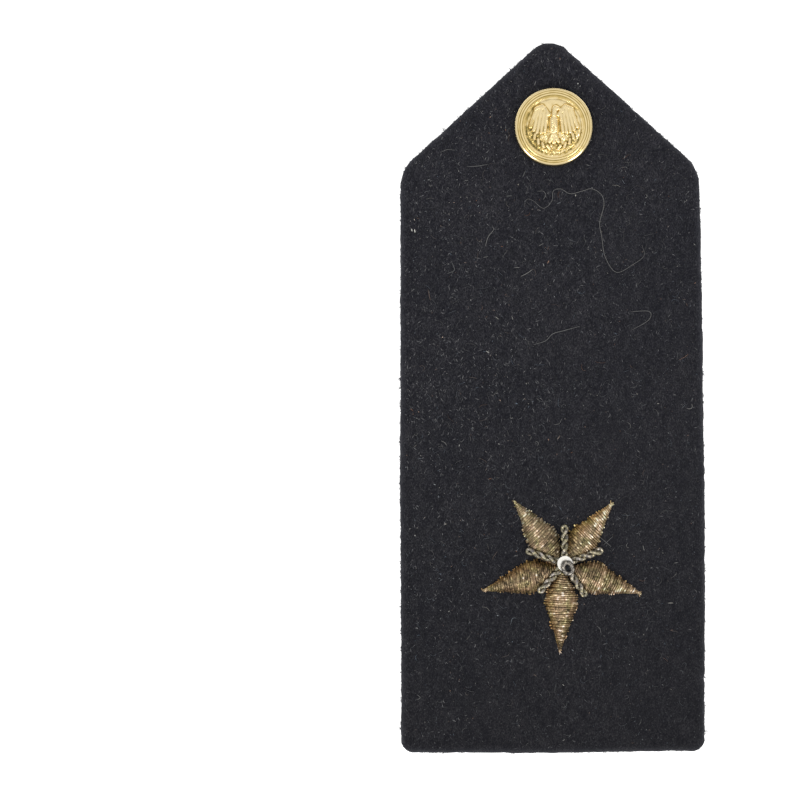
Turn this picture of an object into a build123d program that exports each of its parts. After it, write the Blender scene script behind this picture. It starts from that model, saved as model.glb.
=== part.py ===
"""A hard shoulder board: dark wool cloth over a stiff board, with a gilt button and a metal thread star.

The board lies face up. +Y runs towards the pointed end with the button, +X to the right and +Z out of the
face. The origin is under the middle of the board, on the surface that it rests on. All sizes are in mm.
"""

from build123d import *
import math
import os

os.makedirs("parts", exist_ok=True)

# Cloth-covered board
BOARD_LENGTH = 133.4  # square end to the rounded tip
BOARD_WIDTH = 57.0  # at the square end
SHOULDER_WIDTH = 56.1  # where the point begins
SIDE_BULGE = 0.2  # each side's bow away from a straight taper
BOARD_THICKNESS = 4.8
BOARD_CROWN = 0.4  # rise of the face's middle over its sides
POINT_SLOPE = 41.9  # degrees from square across, on each edge of the point
TIP_RADIUS = 4.5
SHOULDER_RADIUS = 7.5
CORNER_RADIUS = 2.1
FACE_ROLL = 1.9  # radius of the cloth where it rolls over the upper edge
UNDER_ROLL = 1.1

# Leather strap under the board
STRAP_WIDTH = 20.0
STRAP_THICKNESS = 1.94
STRAP_INSET = 9.0  # from the board's square end
STRAP_CORNER = 2.0
STRAP_BEVEL = 0.35

# Button and its hidden post
BUTTON_DIAMETER = 14.8
BUTTON_TIP_DISTANCE = 16.0  # from the board's tip to the button's axis
BUTTON_OFFSET = 0.6  # to the right of the board's middle
BUTTON_RIM_HEIGHT = 1.9  # underside of the rim to the first ring
BUTTON_DOME = 0.75  # rise of the field's middle over its edge
BUTTON_WALL = 0.55
RELIEF_HEIGHT = 0.5  # of the figure over the field
PLATE_THICKNESS = 0.4
POST_DIAMETER = 3.2
HEAD_DIAMETER = 8.0
HEAD_THICKNESS = 0.9

# Star
STAR_END_DISTANCE = 34.6  # from the board's square end to the star's centre
STAR_OFFSET = 1.8  # to the right of the board's middle
STAR_RADIUS = 15.3
ARM_WIDTH = 6.5
ARM_HEIGHT = 2.1
PLY_DIAMETER = 0.84  # each of the two plies of a twisted cord
PLY_SPREAD = 0.78  # between the middles of the two plies
LOOP_WIDTH = 1.54  # outside width of the small loop at a cord's outer end
LOOP_WIRE = 0.68
LOOP_OVERLAP = 0.15  # from the twisted plies' end on to the loop's middle
CORD_LENGTH = 7.5  # from the cords' meeting point to the end of their loops
CORD_START = 0.95  # from the meeting point to the cord's own inner end
CORD_TURNS = 1.75
CORDS_RIGHT = 0.45  # the cords' meeting point from the star's centre
CORDS_UP = 0.9
SPANGLE_DIAMETER = 2.9
SPANGLE_HOLE = 0.9
SPANGLE_THICKNESS = 0.25
SPANGLE_EDGE = 0.08
KNOT_WIRE = 0.80
KNOT_WIDTH = 2.45
KNOT_LENGTH = 2.95
KNOT_RIGHT = 0.52  # the knot's middle from the spangle's
KNOT_DOWN = 0.85
KNOT_TURN = 20.0  # degrees

# Clearances
SEAT_GAP = 0.06  # between a piece and what it rests on
POST_CLEARANCE = 0.1  # round the post, its plate and its head
CORD_CLEARANCE = 0.12  # between a cord and the arm beside it

# Heights and places that follow
BOARD_BOTTOM = STRAP_THICKNESS + SEAT_GAP
BOARD_TOP = BOARD_BOTTOM + BOARD_THICKNESS
SQUARE_END_Y = -BOARD_LENGTH / 2
TIP_Y = BOARD_LENGTH / 2
BUTTON_X = BUTTON_OFFSET
BUTTON_Y = TIP_Y - BUTTON_TIP_DISTANCE
BUTTON_Z = BOARD_TOP + SEAT_GAP
BUTTON_R = BUTTON_DIAMETER / 2
STAR_X = STAR_OFFSET
STAR_Y = SQUARE_END_Y + STAR_END_DISTANCE
STAR_Z = BOARD_TOP + SEAT_GAP
CORD_X = STAR_X + CORDS_RIGHT
CORD_Y = STAR_Y + CORDS_UP
CORD_WIDTH = PLY_SPREAD + PLY_DIAMETER
SPANGLE_Z = STAR_Z + CORD_WIDTH + SEAT_GAP
KNOT_Z = SPANGLE_Z + SPANGLE_THICKNESS + SEAT_GAP

# Each arm: direction in degrees, and its length as a share of the star's radius
ARMS = (
    dict(angle=268.1, length=1.02),
    dict(angle=341.8, length=1.0),
    dict(angle=51.9, length=1.0),
    dict(angle=125.2, length=0.995),
    dict(angle=195.6, length=0.995),
)

# Sections along an arm: place as a share of the arm's length, width and height as shares of the largest
ARM_SECTIONS = (
    dict(at=0.07, width=0.24, height=0.55),
    dict(at=0.20, width=0.62, height=0.82),
    dict(at=0.34, width=0.97, height=0.98),
    dict(at=0.42, width=1.00, height=1.00),
    dict(at=0.62, width=0.67, height=0.84),
    dict(at=0.82, width=0.33, height=0.52),
    dict(at=1.00, width=0.05, height=0.14),
)

# Each cord: direction in degrees, and its length as a share of the cords' length
CORDS = (
    dict(angle=90.0, length=0.98),
    dict(angle=19.3, length=1.03),
    dict(angle=302.3, length=1.0),
    dict(angle=228.0, length=1.0),
    dict(angle=161.0, length=1.04),
)

# The button's profile from rim to field: radius as a share of the button's, height as a share of the rim's
RINGS = (
    dict(radius=0.955, height=0.00),
    dict(radius=1.000, height=0.34),
    dict(radius=0.985, height=0.62),
    dict(radius=0.945, height=0.80),
    dict(radius=0.925, height=0.76),
    dict(radius=0.890, height=0.95),
    dict(radius=0.865, height=0.91),
    dict(radius=0.830, height=1.05),
    dict(radius=0.790, height=1.08),
    dict(radius=0.745, height=0.94),
)

# The raised figure is a bird with spread wings over two leafy sprays, in shares of the field's radius. Each
# bar has round ends at x0, y0 and x1, y1. Its height is a share of the relief's.
FIGURE = (
    dict(name="body", x0=0.00, y0=0.22, x1=0.00, y1=-0.14, width=0.38, height=1.00),
    dict(name="neck", x0=0.01, y0=0.36, x1=0.03, y1=0.56, width=0.22, height=0.95),
    dict(name="head", x0=0.05, y0=0.63, x1=0.10, y1=0.62, width=0.22, height=1.05),
    dict(name="beak", x0=0.18, y0=0.60, x1=0.25, y1=0.56, width=0.09, height=0.85),
    dict(name="tail_left", x0=-0.05, y0=-0.28, x1=-0.15, y1=-0.52, width=0.15, height=0.72),
    dict(name="tail_middle", x0=0.00, y0=-0.28, x1=0.00, y1=-0.56, width=0.15, height=0.80),
    dict(name="tail_right", x0=0.05, y0=-0.28, x1=0.15, y1=-0.52, width=0.15, height=0.72),
)

# The right wing, mirrored for the left: its upper edge and the feathers that hang from it
WING = (
    dict(name="shoulder", x0=0.17, y0=0.40, x1=0.37, y1=0.67, width=0.165, height=0.90),
    dict(name="wrist", x0=0.39, y0=0.685, x1=0.61, y1=0.60, width=0.175, height=0.92),
    dict(name="feather_1", x0=0.24, y0=0.40, x1=0.31, y1=-0.20, width=0.14, height=0.78),
    dict(name="feather_2", x0=0.33, y0=0.52, x1=0.44, y1=-0.22, width=0.14, height=0.72),
    dict(name="feather_3", x0=0.42, y0=0.60, x1=0.57, y1=-0.20, width=0.14, height=0.78),
    dict(name="feather_4", x0=0.51, y0=0.60, x1=0.69, y1=-0.13, width=0.14, height=0.72),
    dict(name="feather_5", x0=0.60, y0=0.58, x1=0.80, y1=-0.02, width=0.14, height=0.78),
)

# The sprays: leaves on each side, from near the bottom of the field round to under the wing
LEAVES_A_SIDE = 4
LEAF_FIRST = 14.0  # degrees round from the bottom
LEAF_LAST = 62.0
LEAF_LEAN = 40.0  # degrees between a leaf and the circle that the leaves stand on
LEAF = dict(circle=0.74, length=0.15, width=0.11, height=0.70)  # shares, as in the figure's tables


def board_outline():
    """The pentagon with gently bowed sides and its rounded tip, shoulders and corners."""
    half, shoulder = BOARD_WIDTH / 2, SHOULDER_WIDTH / 2
    slope = math.radians(POINT_SLOPE)
    sharp_tip = TIP_Y + TIP_RADIUS * (1 / math.cos(slope) - 1)
    shoulder_y = sharp_tip - shoulder * math.tan(slope)
    bow_x = (half + shoulder) / 2 + SIDE_BULGE
    bow_y = (SQUARE_END_Y + shoulder_y) / 2
    with BuildSketch() as outline:
        with BuildLine():
            Line((-half, SQUARE_END_Y), (half, SQUARE_END_Y))
            ThreePointArc((half, SQUARE_END_Y), (bow_x, bow_y), (shoulder, shoulder_y))
            Polyline((shoulder, shoulder_y), (0, sharp_tip), (-shoulder, shoulder_y))
            ThreePointArc((-shoulder, shoulder_y), (-bow_x, bow_y), (-half, SQUARE_END_Y))
        make_face()
        fillet(outline.vertices().sort_by(Axis.Y)[4], TIP_RADIUS)
        fillet(outline.vertices().sort_by(Axis.Y)[2:4], SHOULDER_RADIUS)
        fillet(outline.vertices().sort_by(Axis.Y)[:2], CORNER_RADIUS)
    return outline.sketch


def crown_cylinder():
    """A long cylinder on its side, whose top is the board's crowned face."""
    radius = (BOARD_WIDTH / 2) ** 2 / (2 * BOARD_CROWN) + BOARD_CROWN / 2
    return Pos(0, 0, BOARD_TOP - radius) * Rot(90, 0, 0) * Cylinder(radius, 2 * BOARD_LENGTH)


def post_space(depth):
    """The round space that a piece leaves for the post, as deep to each side of its origin."""
    return Cylinder(POST_DIAMETER / 2 + POST_CLEARANCE, 2 * depth)


def cloth_board():
    """The board with its crowned face, rolled edges and the hole for the button's post."""
    crowned = (Pos(0, 0, BOARD_BOTTOM) * extrude(board_outline(), BOARD_THICKNESS)) & crown_cylinder()
    rolled = fillet(crowned.faces().sort_by(Axis.Z)[-1].edges(), FACE_ROLL)
    rolled = fillet(rolled.faces().sort_by(Axis.Z)[0].edges(), UNDER_ROLL)
    return rolled - Pos(BUTTON_X, BUTTON_Y, BOARD_BOTTOM) * post_space(2 * BOARD_THICKNESS)


def strap():
    """The leather tongue, with a recess where the post's head seats."""
    length = BUTTON_Y - SQUARE_END_Y - STRAP_INSET
    with BuildSketch() as outline:
        Rectangle(STRAP_WIDTH, length, align=(Align.CENTER, Align.MAX))
        fillet(outline.vertices().sort_by(Axis.Y)[:2], STRAP_CORNER)
        Circle(STRAP_WIDTH / 2)
    tongue = extrude(outline.sketch, STRAP_THICKNESS)
    tongue = chamfer(tongue.faces().sort_by(Axis.Z)[0].edges(), STRAP_BEVEL)
    recess = Cylinder(HEAD_DIAMETER / 2 + POST_CLEARANCE, 2 * (HEAD_THICKNESS + SEAT_GAP))
    return Pos(BUTTON_X, BUTTON_Y, 0) * (tongue - post_space(2 * STRAP_THICKNESS) - recess)


def standing_disc(radius, height, bottom=0.0):
    """A cylinder that stands on a height."""
    base = (Align.CENTER, Align.CENTER, Align.MIN)
    return Pos(0, 0, bottom) * Cylinder(radius, height, align=base)


def shell_inside():
    """Radius of the hollow in the button's shell."""
    return BUTTON_R * RINGS[0]["radius"] - BUTTON_WALL


def button_post():
    """The back plate inside the button, the post through board and strap, and the flat head, all one."""
    plate = standing_disc(shell_inside() - POST_CLEARANCE, PLATE_THICKNESS, BUTTON_Z)
    post = standing_disc(POST_DIAMETER / 2, BUTTON_Z + PLATE_THICKNESS)
    head = standing_disc(HEAD_DIAMETER / 2, HEAD_THICKNESS)
    return Pos(BUTTON_X, BUTTON_Y, 0) * (plate + post + head)


def field_radius():
    """Radius of the button's domed field."""
    return BUTTON_R * RINGS[-1]["radius"]


def field_height(distance):
    """Height of the domed field at a distance from the button's axis."""
    edge = BUTTON_Z + BUTTON_RIM_HEIGHT * RINGS[-1]["height"]
    sphere = (field_radius() ** 2 + BUTTON_DOME**2) / (2 * BUTTON_DOME)
    return edge + BUTTON_DOME - sphere + math.sqrt(sphere**2 - distance**2)


def dome_arc(below):
    """The field's arc from its edge to its middle, at a depth below its surface."""
    places = [field_radius() * share for share in (1, 0.5, 0)]
    return ThreePointArc(*[(place, field_height(place) - below) for place in places])


def button_shell():
    """The thin domed shell with its stepped rings."""
    rings = [(BUTTON_R * ring["radius"], BUTTON_Z + BUTTON_RIM_HEIGHT * ring["height"]) for ring in RINGS]
    with BuildSketch(Plane.XZ) as profile:
        with BuildLine():
            Polyline(*rings)
            outside = dome_arc(0)
            inside = dome_arc(BUTTON_WALL)
            Line(outside @ 1, inside @ 1)
            hollow_top = field_height(field_radius()) - BUTTON_WALL
            Polyline(inside @ 0, (shell_inside(), hollow_top), (shell_inside(), BUTTON_Z), rings[0])
        make_face()
    return revolve(profile.sketch, Axis.Z)


def under_field():
    """The space under the middle of the shell's wall, which the figure stays out of."""
    with BuildSketch(Plane.XZ) as section:
        with BuildLine():
            arc = dome_arc(BUTTON_WALL / 2)
            Polyline(arc @ 1, (0, 0), (field_radius(), 0), arc @ 0)
        make_face()
    return revolve(section.sketch, Axis.Z)


def raised_bar(bar, side=1):
    """A round bar half sunk in the button's field, mirrored where side is -1."""
    radius = bar["width"] * field_radius() / 2
    ends = []
    for x, y in ((bar["x0"], bar["y0"]), (bar["x1"], bar["y1"])):
        place = Vector(side * x, y, 0) * field_radius()
        top = field_height(place.length) + RELIEF_HEIGHT * bar["height"]
        ends.append(place + Vector(0, 0, top - radius))
    along = ends[1] - ends[0]
    with BuildSketch(Plane.XZ) as half:
        with BuildLine():
            Line((radius, 0), (radius, along.length))
            CenterArc((0, along.length), radius, 0, 90)
            Line((0, along.length + radius), (0, -radius))
            CenterArc((0, 0), radius, 270, 90)
        make_face()
    return Plane(origin=ends[0], z_dir=along).location * revolve(half.sketch, Axis.Z)


def leaf_bar(share):
    """A leaf of the right spray, at a share of the way from the first to the last."""
    from_bottom = LEAF_FIRST + (LEAF_LAST - LEAF_FIRST) * share
    place = math.radians(270 + from_bottom)
    points = math.radians(from_bottom + LEAF_LEAN)
    x, y = LEAF["circle"] * math.cos(place), LEAF["circle"] * math.sin(place)
    dx, dy = LEAF["length"] / 2 * math.cos(points), LEAF["length"] / 2 * math.sin(points)
    return dict(x0=x - dx, y0=y - dy, x1=x + dx, y1=y + dy, width=LEAF["width"], height=LEAF["height"])


def button_face():
    """The shell with its raised figure."""
    leaves = [leaf_bar(number / (LEAVES_A_SIDE - 1)) for number in range(LEAVES_A_SIDE)]
    bars = [raised_bar(bar) for bar in FIGURE]
    bars += [raised_bar(bar, side) for side in (1, -1) for bar in (*WING, *leaves)]
    figure = bars[0].fuse(*bars[1:]) - under_field()
    return Pos(BUTTON_X, BUTTON_Y, 0) * (button_shell() + figure)


def arm_section(section, length):
    """One section of an arm: a flat base and an arc over it, square to the arm."""
    half = ARM_WIDTH * section["width"] / 2
    high = ARM_HEIGHT * section["height"]
    across = Plane(origin=(section["at"] * length, 0, 0), x_dir=(0, 1, 0), z_dir=(1, 0, 0))
    with BuildSketch(across) as sketch:
        with BuildLine():
            Line((-half, 0), (half, 0))
            ThreePointArc((half, 0), (0, high), (-half, 0))
        make_face()
    return sketch.sketch


def cord_space(cord):
    """The upright channel that keeps the arms clear of a cord."""
    wide = CORD_WIDTH + 2 * CORD_CLEARANCE
    long = CORD_LENGTH * cord["length"] + CORD_CLEARANCE
    channel = Box(long, wide, 3 * ARM_HEIGHT, align=(Align.MIN, Align.CENTER, Align.CENTER))
    return Pos(CORD_X, CORD_Y, STAR_Z) * Rot(0, 0, cord["angle"]) * channel


def star_arm(arm):
    """One padded arm, cut clear of the cords beside it."""
    length = STAR_RADIUS * arm["length"]
    padded = loft([arm_section(section, length) for section in ARM_SECTIONS], ruled=True)
    placed = Pos(STAR_X, STAR_Y, STAR_Z) * Rot(0, 0, arm["angle"]) * padded
    clear = placed - [cord_space(cord) for cord in CORDS]
    return clear.solids().sort_by(SortBy.VOLUME)[-1]


def star_cord(cord):
    """One twisted cord of two plies, ending in the small flat loop where its strand turns back."""
    loop_middle = CORD_LENGTH * cord["length"] - CORD_START - LOOP_WIDTH / 2
    with BuildSketch() as plies:
        with Locations((-PLY_SPREAD / 2, 0), (PLY_SPREAD / 2, 0)):
            Circle(PLY_DIAMETER / 2)
    twisted = Solid.extrude_linear_with_rotation(
        plies.sketch.faces()[0], center=(0, 0, 0), normal=(0, 0, loop_middle - LOOP_OVERLAP), angle=360 * CORD_TURNS
    )
    loop = Pos(0, 0, loop_middle) * Rot(0, 90, 0) * Torus((LOOP_WIDTH - LOOP_WIRE) / 2, LOOP_WIRE / 2)
    lying = Pos(CORD_START, 0, 0) * Rot(0, 90, 0) * (twisted + loop)
    return Pos(CORD_X, CORD_Y, STAR_Z + CORD_WIDTH / 2) * Rot(0, 0, cord["angle"]) * lying


def star_spangle():
    """The small pierced disc that rests on the cords."""
    disc = standing_disc(SPANGLE_DIAMETER / 2, SPANGLE_THICKNESS)
    disc = fillet(disc.faces().sort_by(Axis.Z)[-1].edges(), SPANGLE_EDGE)
    return Pos(CORD_X, CORD_Y, SPANGLE_Z) * (disc - Cylinder(SPANGLE_HOLE / 2, 3 * SPANGLE_THICKNESS))


def star_knot():
    """The oval loop of coiled wire on the spangle."""
    wire = KNOT_WIRE / 2
    bend = KNOT_WIDTH / 2 - wire
    straight = KNOT_LENGTH / 2 - wire - bend
    with BuildLine() as oval:
        Line((bend, -straight), (bend, straight))
        ThreePointArc((bend, straight), (0, straight + bend), (-bend, straight))
        Line((-bend, straight), (-bend, -straight))
        ThreePointArc((-bend, -straight), (0, -straight - bend), (bend, -straight))
    with BuildSketch(Plane.XZ.offset(straight)) as wire_section:
        with Locations((bend, 0)):
            Circle(wire)
    loop = sweep(wire_section.sketch, path=oval.line)
    place = Pos(CORD_X + KNOT_RIGHT, CORD_Y - KNOT_DOWN, KNOT_Z + wire)
    return place * Rot(0, 0, KNOT_TURN) * loop


def main():
    pieces = {
        "cloth_board": cloth_board(),
        "strap": strap(),
        "button_post": button_post(),
        "button_face": button_face(),
        "star_spangle": star_spangle(),
        "star_knot": star_knot(),
    }
    for number, arm in enumerate(ARMS, start=1):
        pieces[f"star_arm_{number}"] = star_arm(arm)
    for number, cord in enumerate(CORDS, start=1):
        pieces[f"star_cord_{number}"] = star_cord(cord)
    for name, piece in pieces.items():
        export_step(piece, f"parts/{name}.step")


main()
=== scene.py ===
"""Looks of the worn shoulder board: napped wool cloth, a gilt button and a star of metal thread.

The board lies face up on a white floor and the camera looks straight down on it. Everything is in metres, in
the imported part's own frame: +Y towards the pointed end with the button, +X to the right, +Z out of the face.
"""

import math

import bpy
import numpy as np
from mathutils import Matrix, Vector


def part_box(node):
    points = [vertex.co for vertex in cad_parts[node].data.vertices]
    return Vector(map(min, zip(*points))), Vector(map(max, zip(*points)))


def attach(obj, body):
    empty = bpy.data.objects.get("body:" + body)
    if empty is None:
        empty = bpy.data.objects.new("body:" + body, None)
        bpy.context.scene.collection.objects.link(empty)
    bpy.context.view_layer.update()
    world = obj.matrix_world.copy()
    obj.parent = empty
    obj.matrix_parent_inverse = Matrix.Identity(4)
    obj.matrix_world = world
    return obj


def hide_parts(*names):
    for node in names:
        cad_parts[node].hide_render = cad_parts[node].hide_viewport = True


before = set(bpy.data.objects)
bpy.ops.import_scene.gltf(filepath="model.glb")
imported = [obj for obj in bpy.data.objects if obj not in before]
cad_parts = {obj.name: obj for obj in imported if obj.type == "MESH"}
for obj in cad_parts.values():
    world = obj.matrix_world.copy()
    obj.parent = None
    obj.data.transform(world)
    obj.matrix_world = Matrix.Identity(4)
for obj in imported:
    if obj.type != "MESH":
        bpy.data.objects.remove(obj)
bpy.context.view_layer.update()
random = np.random.default_rng(2943)

MM = 0.001
TURN = 2 * math.pi


def table(columns, *rows):
    """Rows of values, each as a dictionary with the columns' names."""
    return [dict(zip(columns.split(), row)) for row in rows]


def angles_round(count):
    """Angles evenly spaced round a full turn."""
    return np.linspace(0, TURN, count, endpoint=False)


# Board
BOARD_WIDTH = 57.0 * MM
SHOULDER_WIDTH = 56.1 * MM
SIDE_BULGE = 0.2 * MM
RIGHT_BOW = 0.27 * MM  # how much more the right side bows out than the left
END_BOW = 0.30 * MM
END_BOW_LEFT = 3 * MM  # how far left of the middle the square end bows out most
END_BAND = 0.5 * MM  # how far up the outline's points still belong to the square end
BOARD_CROWN = 0.4 * MM
POINT_SLOPE = math.radians(41.9)
TIP_RADIUS = 4.5 * MM
SHOULDER_RADIUS = 7.5 * MM
CORNER_RADIUS = 2.1 * MM
FACE_ROLL = 1.9 * MM
UNDER_ROLL = 1.1 * MM
board_low, board_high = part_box("cloth_board")
BOARD_BOTTOM = board_low.z
BOARD_TOP = board_high.z
SQUARE_END_Y = board_low.y
TIP_Y = board_high.y
SHARP_TIP_Y = TIP_Y + TIP_RADIUS * (1 / math.cos(POINT_SLOPE) - 1)  # the tip before it is rounded
SHOULDER_Y = SHARP_TIP_Y - SHOULDER_WIDTH / 2 * math.tan(POINT_SLOPE)
SIDE_FROM = BOARD_BOTTOM + UNDER_ROLL
SIDE_TO = BOARD_TOP - BOARD_CROWN - FACE_ROLL

# Cloth
OUTLINE_STEP = 0.55 * MM
CORNER_STEPS = 24
EDGE_WAVE = 0.11 * MM  # how far the cloth's edge strays from a true line
EDGE_CYCLES = (7, 13, 31, 53, 89, 131, 173)
EDGE_LUMPS = 0.045 * MM
LUMP_SIZE = 2.2 * MM
CLOTH_SINK = 0.05 * MM  # how far the face's mean height lies under the board's top
BILLOW_SIZE = 11 * MM
BILLOW_HEIGHT = 0.03 * MM
PUCKER_SIZE = 2.6 * MM
PUCKER_HEIGHT = 0.012 * MM
NAP_STRETCH = (1, 0.55, 1)
FIBRE_LIFT = 0.01 * MM
NAP_FIBRES = 40000
NAP_HEADING = math.radians(90)
FLECKS = 3600
STRAYS = 480
STRAY_STEP = 0.16 * MM
STRAY_LIFT = 0.07 * MM
EDGE_TUFTS = 1500
TUFT_RADII = np.array([0.036, 0.030, 0.010]) * MM
LINT_STEP = 0.12 * MM
LINT_LIFT = 0.10 * MM

# Ranges, in mm, that the cloth's fibres and the star's loose strands are drawn from
NAP_LENGTHS = (0.2, 0.8)
NAP_WIDTHS = (0.05, 0.10)
NAP_LIFTS = (0.01, 0.07)
FLECK_WIDTHS = (0.05, 0.12)
FLECK_LIFTS = (0.03, 0.09)
STRAY_BENDS = (0.15, 0.42)  # from one bend of a stray fibre to the next
STRAY_RADII = (0.022, 0.036)
TIP_STRAND_REACHES = (0.35, 0.75)
TIP_STRAND_ROOTS = (0.0, 0.9)  # how far behind an arm's tip a strand starts

# Strap
STRAP_THICKNESS = 1.94 * MM
STRAP_BEVEL = 0.35 * MM
STRAP_EASE = 0.22 * MM  # rounding of the edges that lie against the board and round the recess
STRAP_CORNER = 2.0 * MM
STRAP_HOLE = 1.7 * MM
STRAP_STEP = 0.6 * MM
RECESS_RADIUS = 4.1 * MM
RECESS_DEPTH = 0.96 * MM
SIDE_WEAR = 0.03 * MM
PEBBLES_A_METRE = 900.0

# Button
button_low, button_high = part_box("button_face")
BUTTON_X = (button_low.x + button_high.x) / 2
BUTTON_Y = (button_low.y + button_high.y) / 2
BUTTON_Z = button_low.z
BUTTON_R = (button_high.x - button_low.x) / 2
BUTTON_RIM_HEIGHT = 1.9 * MM
BUTTON_DOME = 0.75 * MM
BUTTON_WALL = 0.55 * MM
BUTTON_TURNS = angles_round(400)
FIELD_STEPS = 84
RIM_STEPS = 96
INNER_RINGS = np.array([0.75, 0.5, 0.25, 0.02])  # the shell's inside, as shares of the field's radius

# Relief, dirt and painted shade of the button's face
RELIEF_HEIGHT = 0.5 * MM
RELIEF_EASE = 0.05 * MM
BARB_PITCH = 0.24 * MM
BARB_SLANT = 1.1
BARB_HEIGHT = 0.020 * MM
QUILL_WIDTH = 0.035 * MM
QUILL_DEPTH = 0.03 * MM
VEIN_WIDTH = 0.04 * MM
VEIN_DEPTH = 0.07 * MM
SCALE_WIDTH = 0.42 * MM
SCALE_LENGTH = 0.36 * MM
SCALE_HEIGHT = 0.035 * MM
COVERT_WIDTH = 0.34 * MM
COVERT_LENGTH = 0.8 * MM
COVERT_HEIGHT = 0.028 * MM
EYE_X = 0.10  # as a share of the field's radius
EYE_Y = 0.66
EYE_WIDTH = 0.07 * MM
EYE_HEIGHT = 0.06 * MM
STIPPLE_SIZE = 0.5 * MM
STIPPLE_HEIGHT = 0.022 * MM
DENT_SIZE = 1.7 * MM
DENT_DEPTH = 0.013 * MM
EDGE_GROOVE = 0.945  # as a share of the field's radius
EDGE_GROOVE_WIDTH = 0.13 * MM
EDGE_GROOVE_DEPTH = 0.11 * MM
RING_GROOVE_DEPTH = 0.045 * MM
RING_GROOVE_WIDTH = 0.013  # as a share of BUTTON_R
DIRT_PATCH = 1.3 * MM
FIGURE_FOOT = 0.12 * MM  # how high the figure stands where the plain field ends
HOLLOW_DEPTH = 0.16 * MM  # how deep a hollow is that is painted darkest, with dirt and painted shade

# Star
STAR_X = 1.8 * MM
STAR_Y = SQUARE_END_Y + 34.6 * MM
STAR_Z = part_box("star_arm_1")[0].z
STAR_RADIUS = 15.3 * MM
ARM_WIDTH = 6.5 * MM
ARM_HEIGHT = 2.1 * MM
PLY_DIAMETER = 0.84 * MM
PLY_SPREAD = 0.78 * MM
LOOP_WIDTH = 1.54 * MM
LOOP_WIRE = 0.68 * MM
LOOP_OVERLAP = 0.15 * MM
LOOP_BLEND = 0.6 * MM  # the length over which a ply thins to the loop's wire
CORD_LENGTH = 7.5 * MM
CORD_START = 0.95 * MM
CORD_TURNS = 1.75
CORD_SIDES = 14
CORDS_RIGHT = 0.45 * MM
CORDS_UP = 0.9 * MM
CORD_WIDTH = PLY_SPREAD + PLY_DIAMETER
CORD_STEP = 0.034 * MM
LOOP_SWEEP = math.radians(110)  # to each side of the loop's far end
COIL_PITCH = 0.17 * MM
COIL_DEPTH = 0.22
KNOT_WIRE = 0.80 * MM
KNOT_WIDTH = 2.45 * MM
KNOT_LENGTH = 2.95 * MM
KNOT_RIGHT = 0.52 * MM
KNOT_DOWN = 0.85 * MM
KNOT_TURN = math.radians(20)
KNOT_LIFT = 0.03 * MM
KNOT_STEP = 0.035 * MM
KNOT_SWELL = 0.05 * MM  # how far the coil's crests rise over the plain wire
KNOT_COIL_DEPTH = 0.24
STITCH_RADIUS = 0.15 * MM
STITCH_ASIDE = 0.14 * MM
STITCH_HEIGHT = 0.16 * MM
STITCH_ARCH = 0.12 * MM
STITCH_PLY = 0.2 * MM
KNOT_CENTRE = np.array([STAR_X + CORDS_RIGHT + KNOT_RIGHT, STAR_Y + CORDS_UP - KNOT_DOWN])
SPANGLE_HOLE = 0.9 * MM
SPANGLE_GRIME_AND_SHADE_REACH = 0.75 * MM

# Threads of the star
THREAD_RADIUS = 0.208 * MM
THREAD_PITCH = 0.398 * MM
THREAD_STEPS = (0.76, 0.88, 1.0, 1.1, 1.35)  # shares of the pitch, picked at random
THREAD_WRAP = 0.22 * MM
THREAD_ROLL = 0.40 * MM  # how far from a thread's end it starts to turn down into the cloth
CHANNEL_ROLL = 0.26 * MM  # the same where it meets a cord
CHANNEL_HALF = CORD_WIDTH / 2 - 0.20 * MM
THREAD_STEP = 0.085 * MM
RAGGED = 0.13 * MM  # how unevenly the threads end at an arm's edges
THREAD_SWAY = 0.09 * MM
LEAST_HALF = 0.12 * MM  # half the width of an arm where its threads are shortest
LEAST_REACH = 0.08 * MM  # how far from an arm's middle line its threads reach at least
FLANK_LEAST = 0.5 * MM  # the half width that an arm's narrow tip counts as
GLINT_SHARE = 0.075
TIP_LOOP_THREAD_RADIUS = 0.07 * MM
TIP_LOOP_AHEAD = 0.02 * MM
TIP_LOOP_HALF_LENGTH = 0.26 * MM
TIP_LOOP_HALF_WIDTH = 0.13 * MM
TIP_LOOP_HEIGHT = 0.10 * MM
TIP_STRANDS = 7
TIP_STRAND_RADIUS = 0.045 * MM
TIP_STRAND_HEIGHT = 0.12 * MM
CORE_ROWS = 30
CORE_END = 0.97  # as a share of the arm's length
CORE_SINK = 0.02 * MM

# Camera: straight down, over the middle of the photo
CAMERA_HEIGHT = 700 * MM
CAMERA_X = -28.50 * MM
CAMERA_Y = -0.38 * MM
CAMERA_ROLL = math.radians(-0.31)
VIEW_WIDTH = 150.3 * MM
SENSOR = 36.0

# The star's arms: direction in degrees, length as a share of the star's radius, slant of the threads, their
# brightness, how it grows along the arm and at its tip, and how much they glint
ARMS = table(
    "angle length skew shade tip end glints",
    (268.1, 1.02, 0.00, 0.342, -0.16, -0.26, 1.0),
    (341.8, 1.0, 0.03, 0.292, 0.12, 0.02, 0.8),
    (51.9, 1.0, 0.12, 0.262, 0.78, 0.02, 1.2),
    (125.2, 0.995, -0.20, 0.262, 0.50, 0.0, 1.2),
    (195.6, 0.995, 0.08, 0.200, 0.10, 0.22, 0.4),
)
# The cords: direction in degrees, and length as a share of CORD_LENGTH
CORDS = table("angle length", (90.0, 0.98), (19.3, 1.03), (302.3, 1.0), (228.0, 1.0), (161.0, 1.04))

# An arm's sections: place along it, width and height, as shares of its length, width and height
ARM_PLACES, ARM_WIDTHS, ARM_HEIGHTS = np.array(
    (
        (0.07, 0.24, 0.55),
        (0.20, 0.62, 0.82),
        (0.34, 0.97, 0.98),
        (0.42, 1.00, 1.00),
        (0.62, 0.67, 0.84),
        (0.82, 0.33, 0.52),
        (1.00, 0.05, 0.14),
    )
).T

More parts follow.
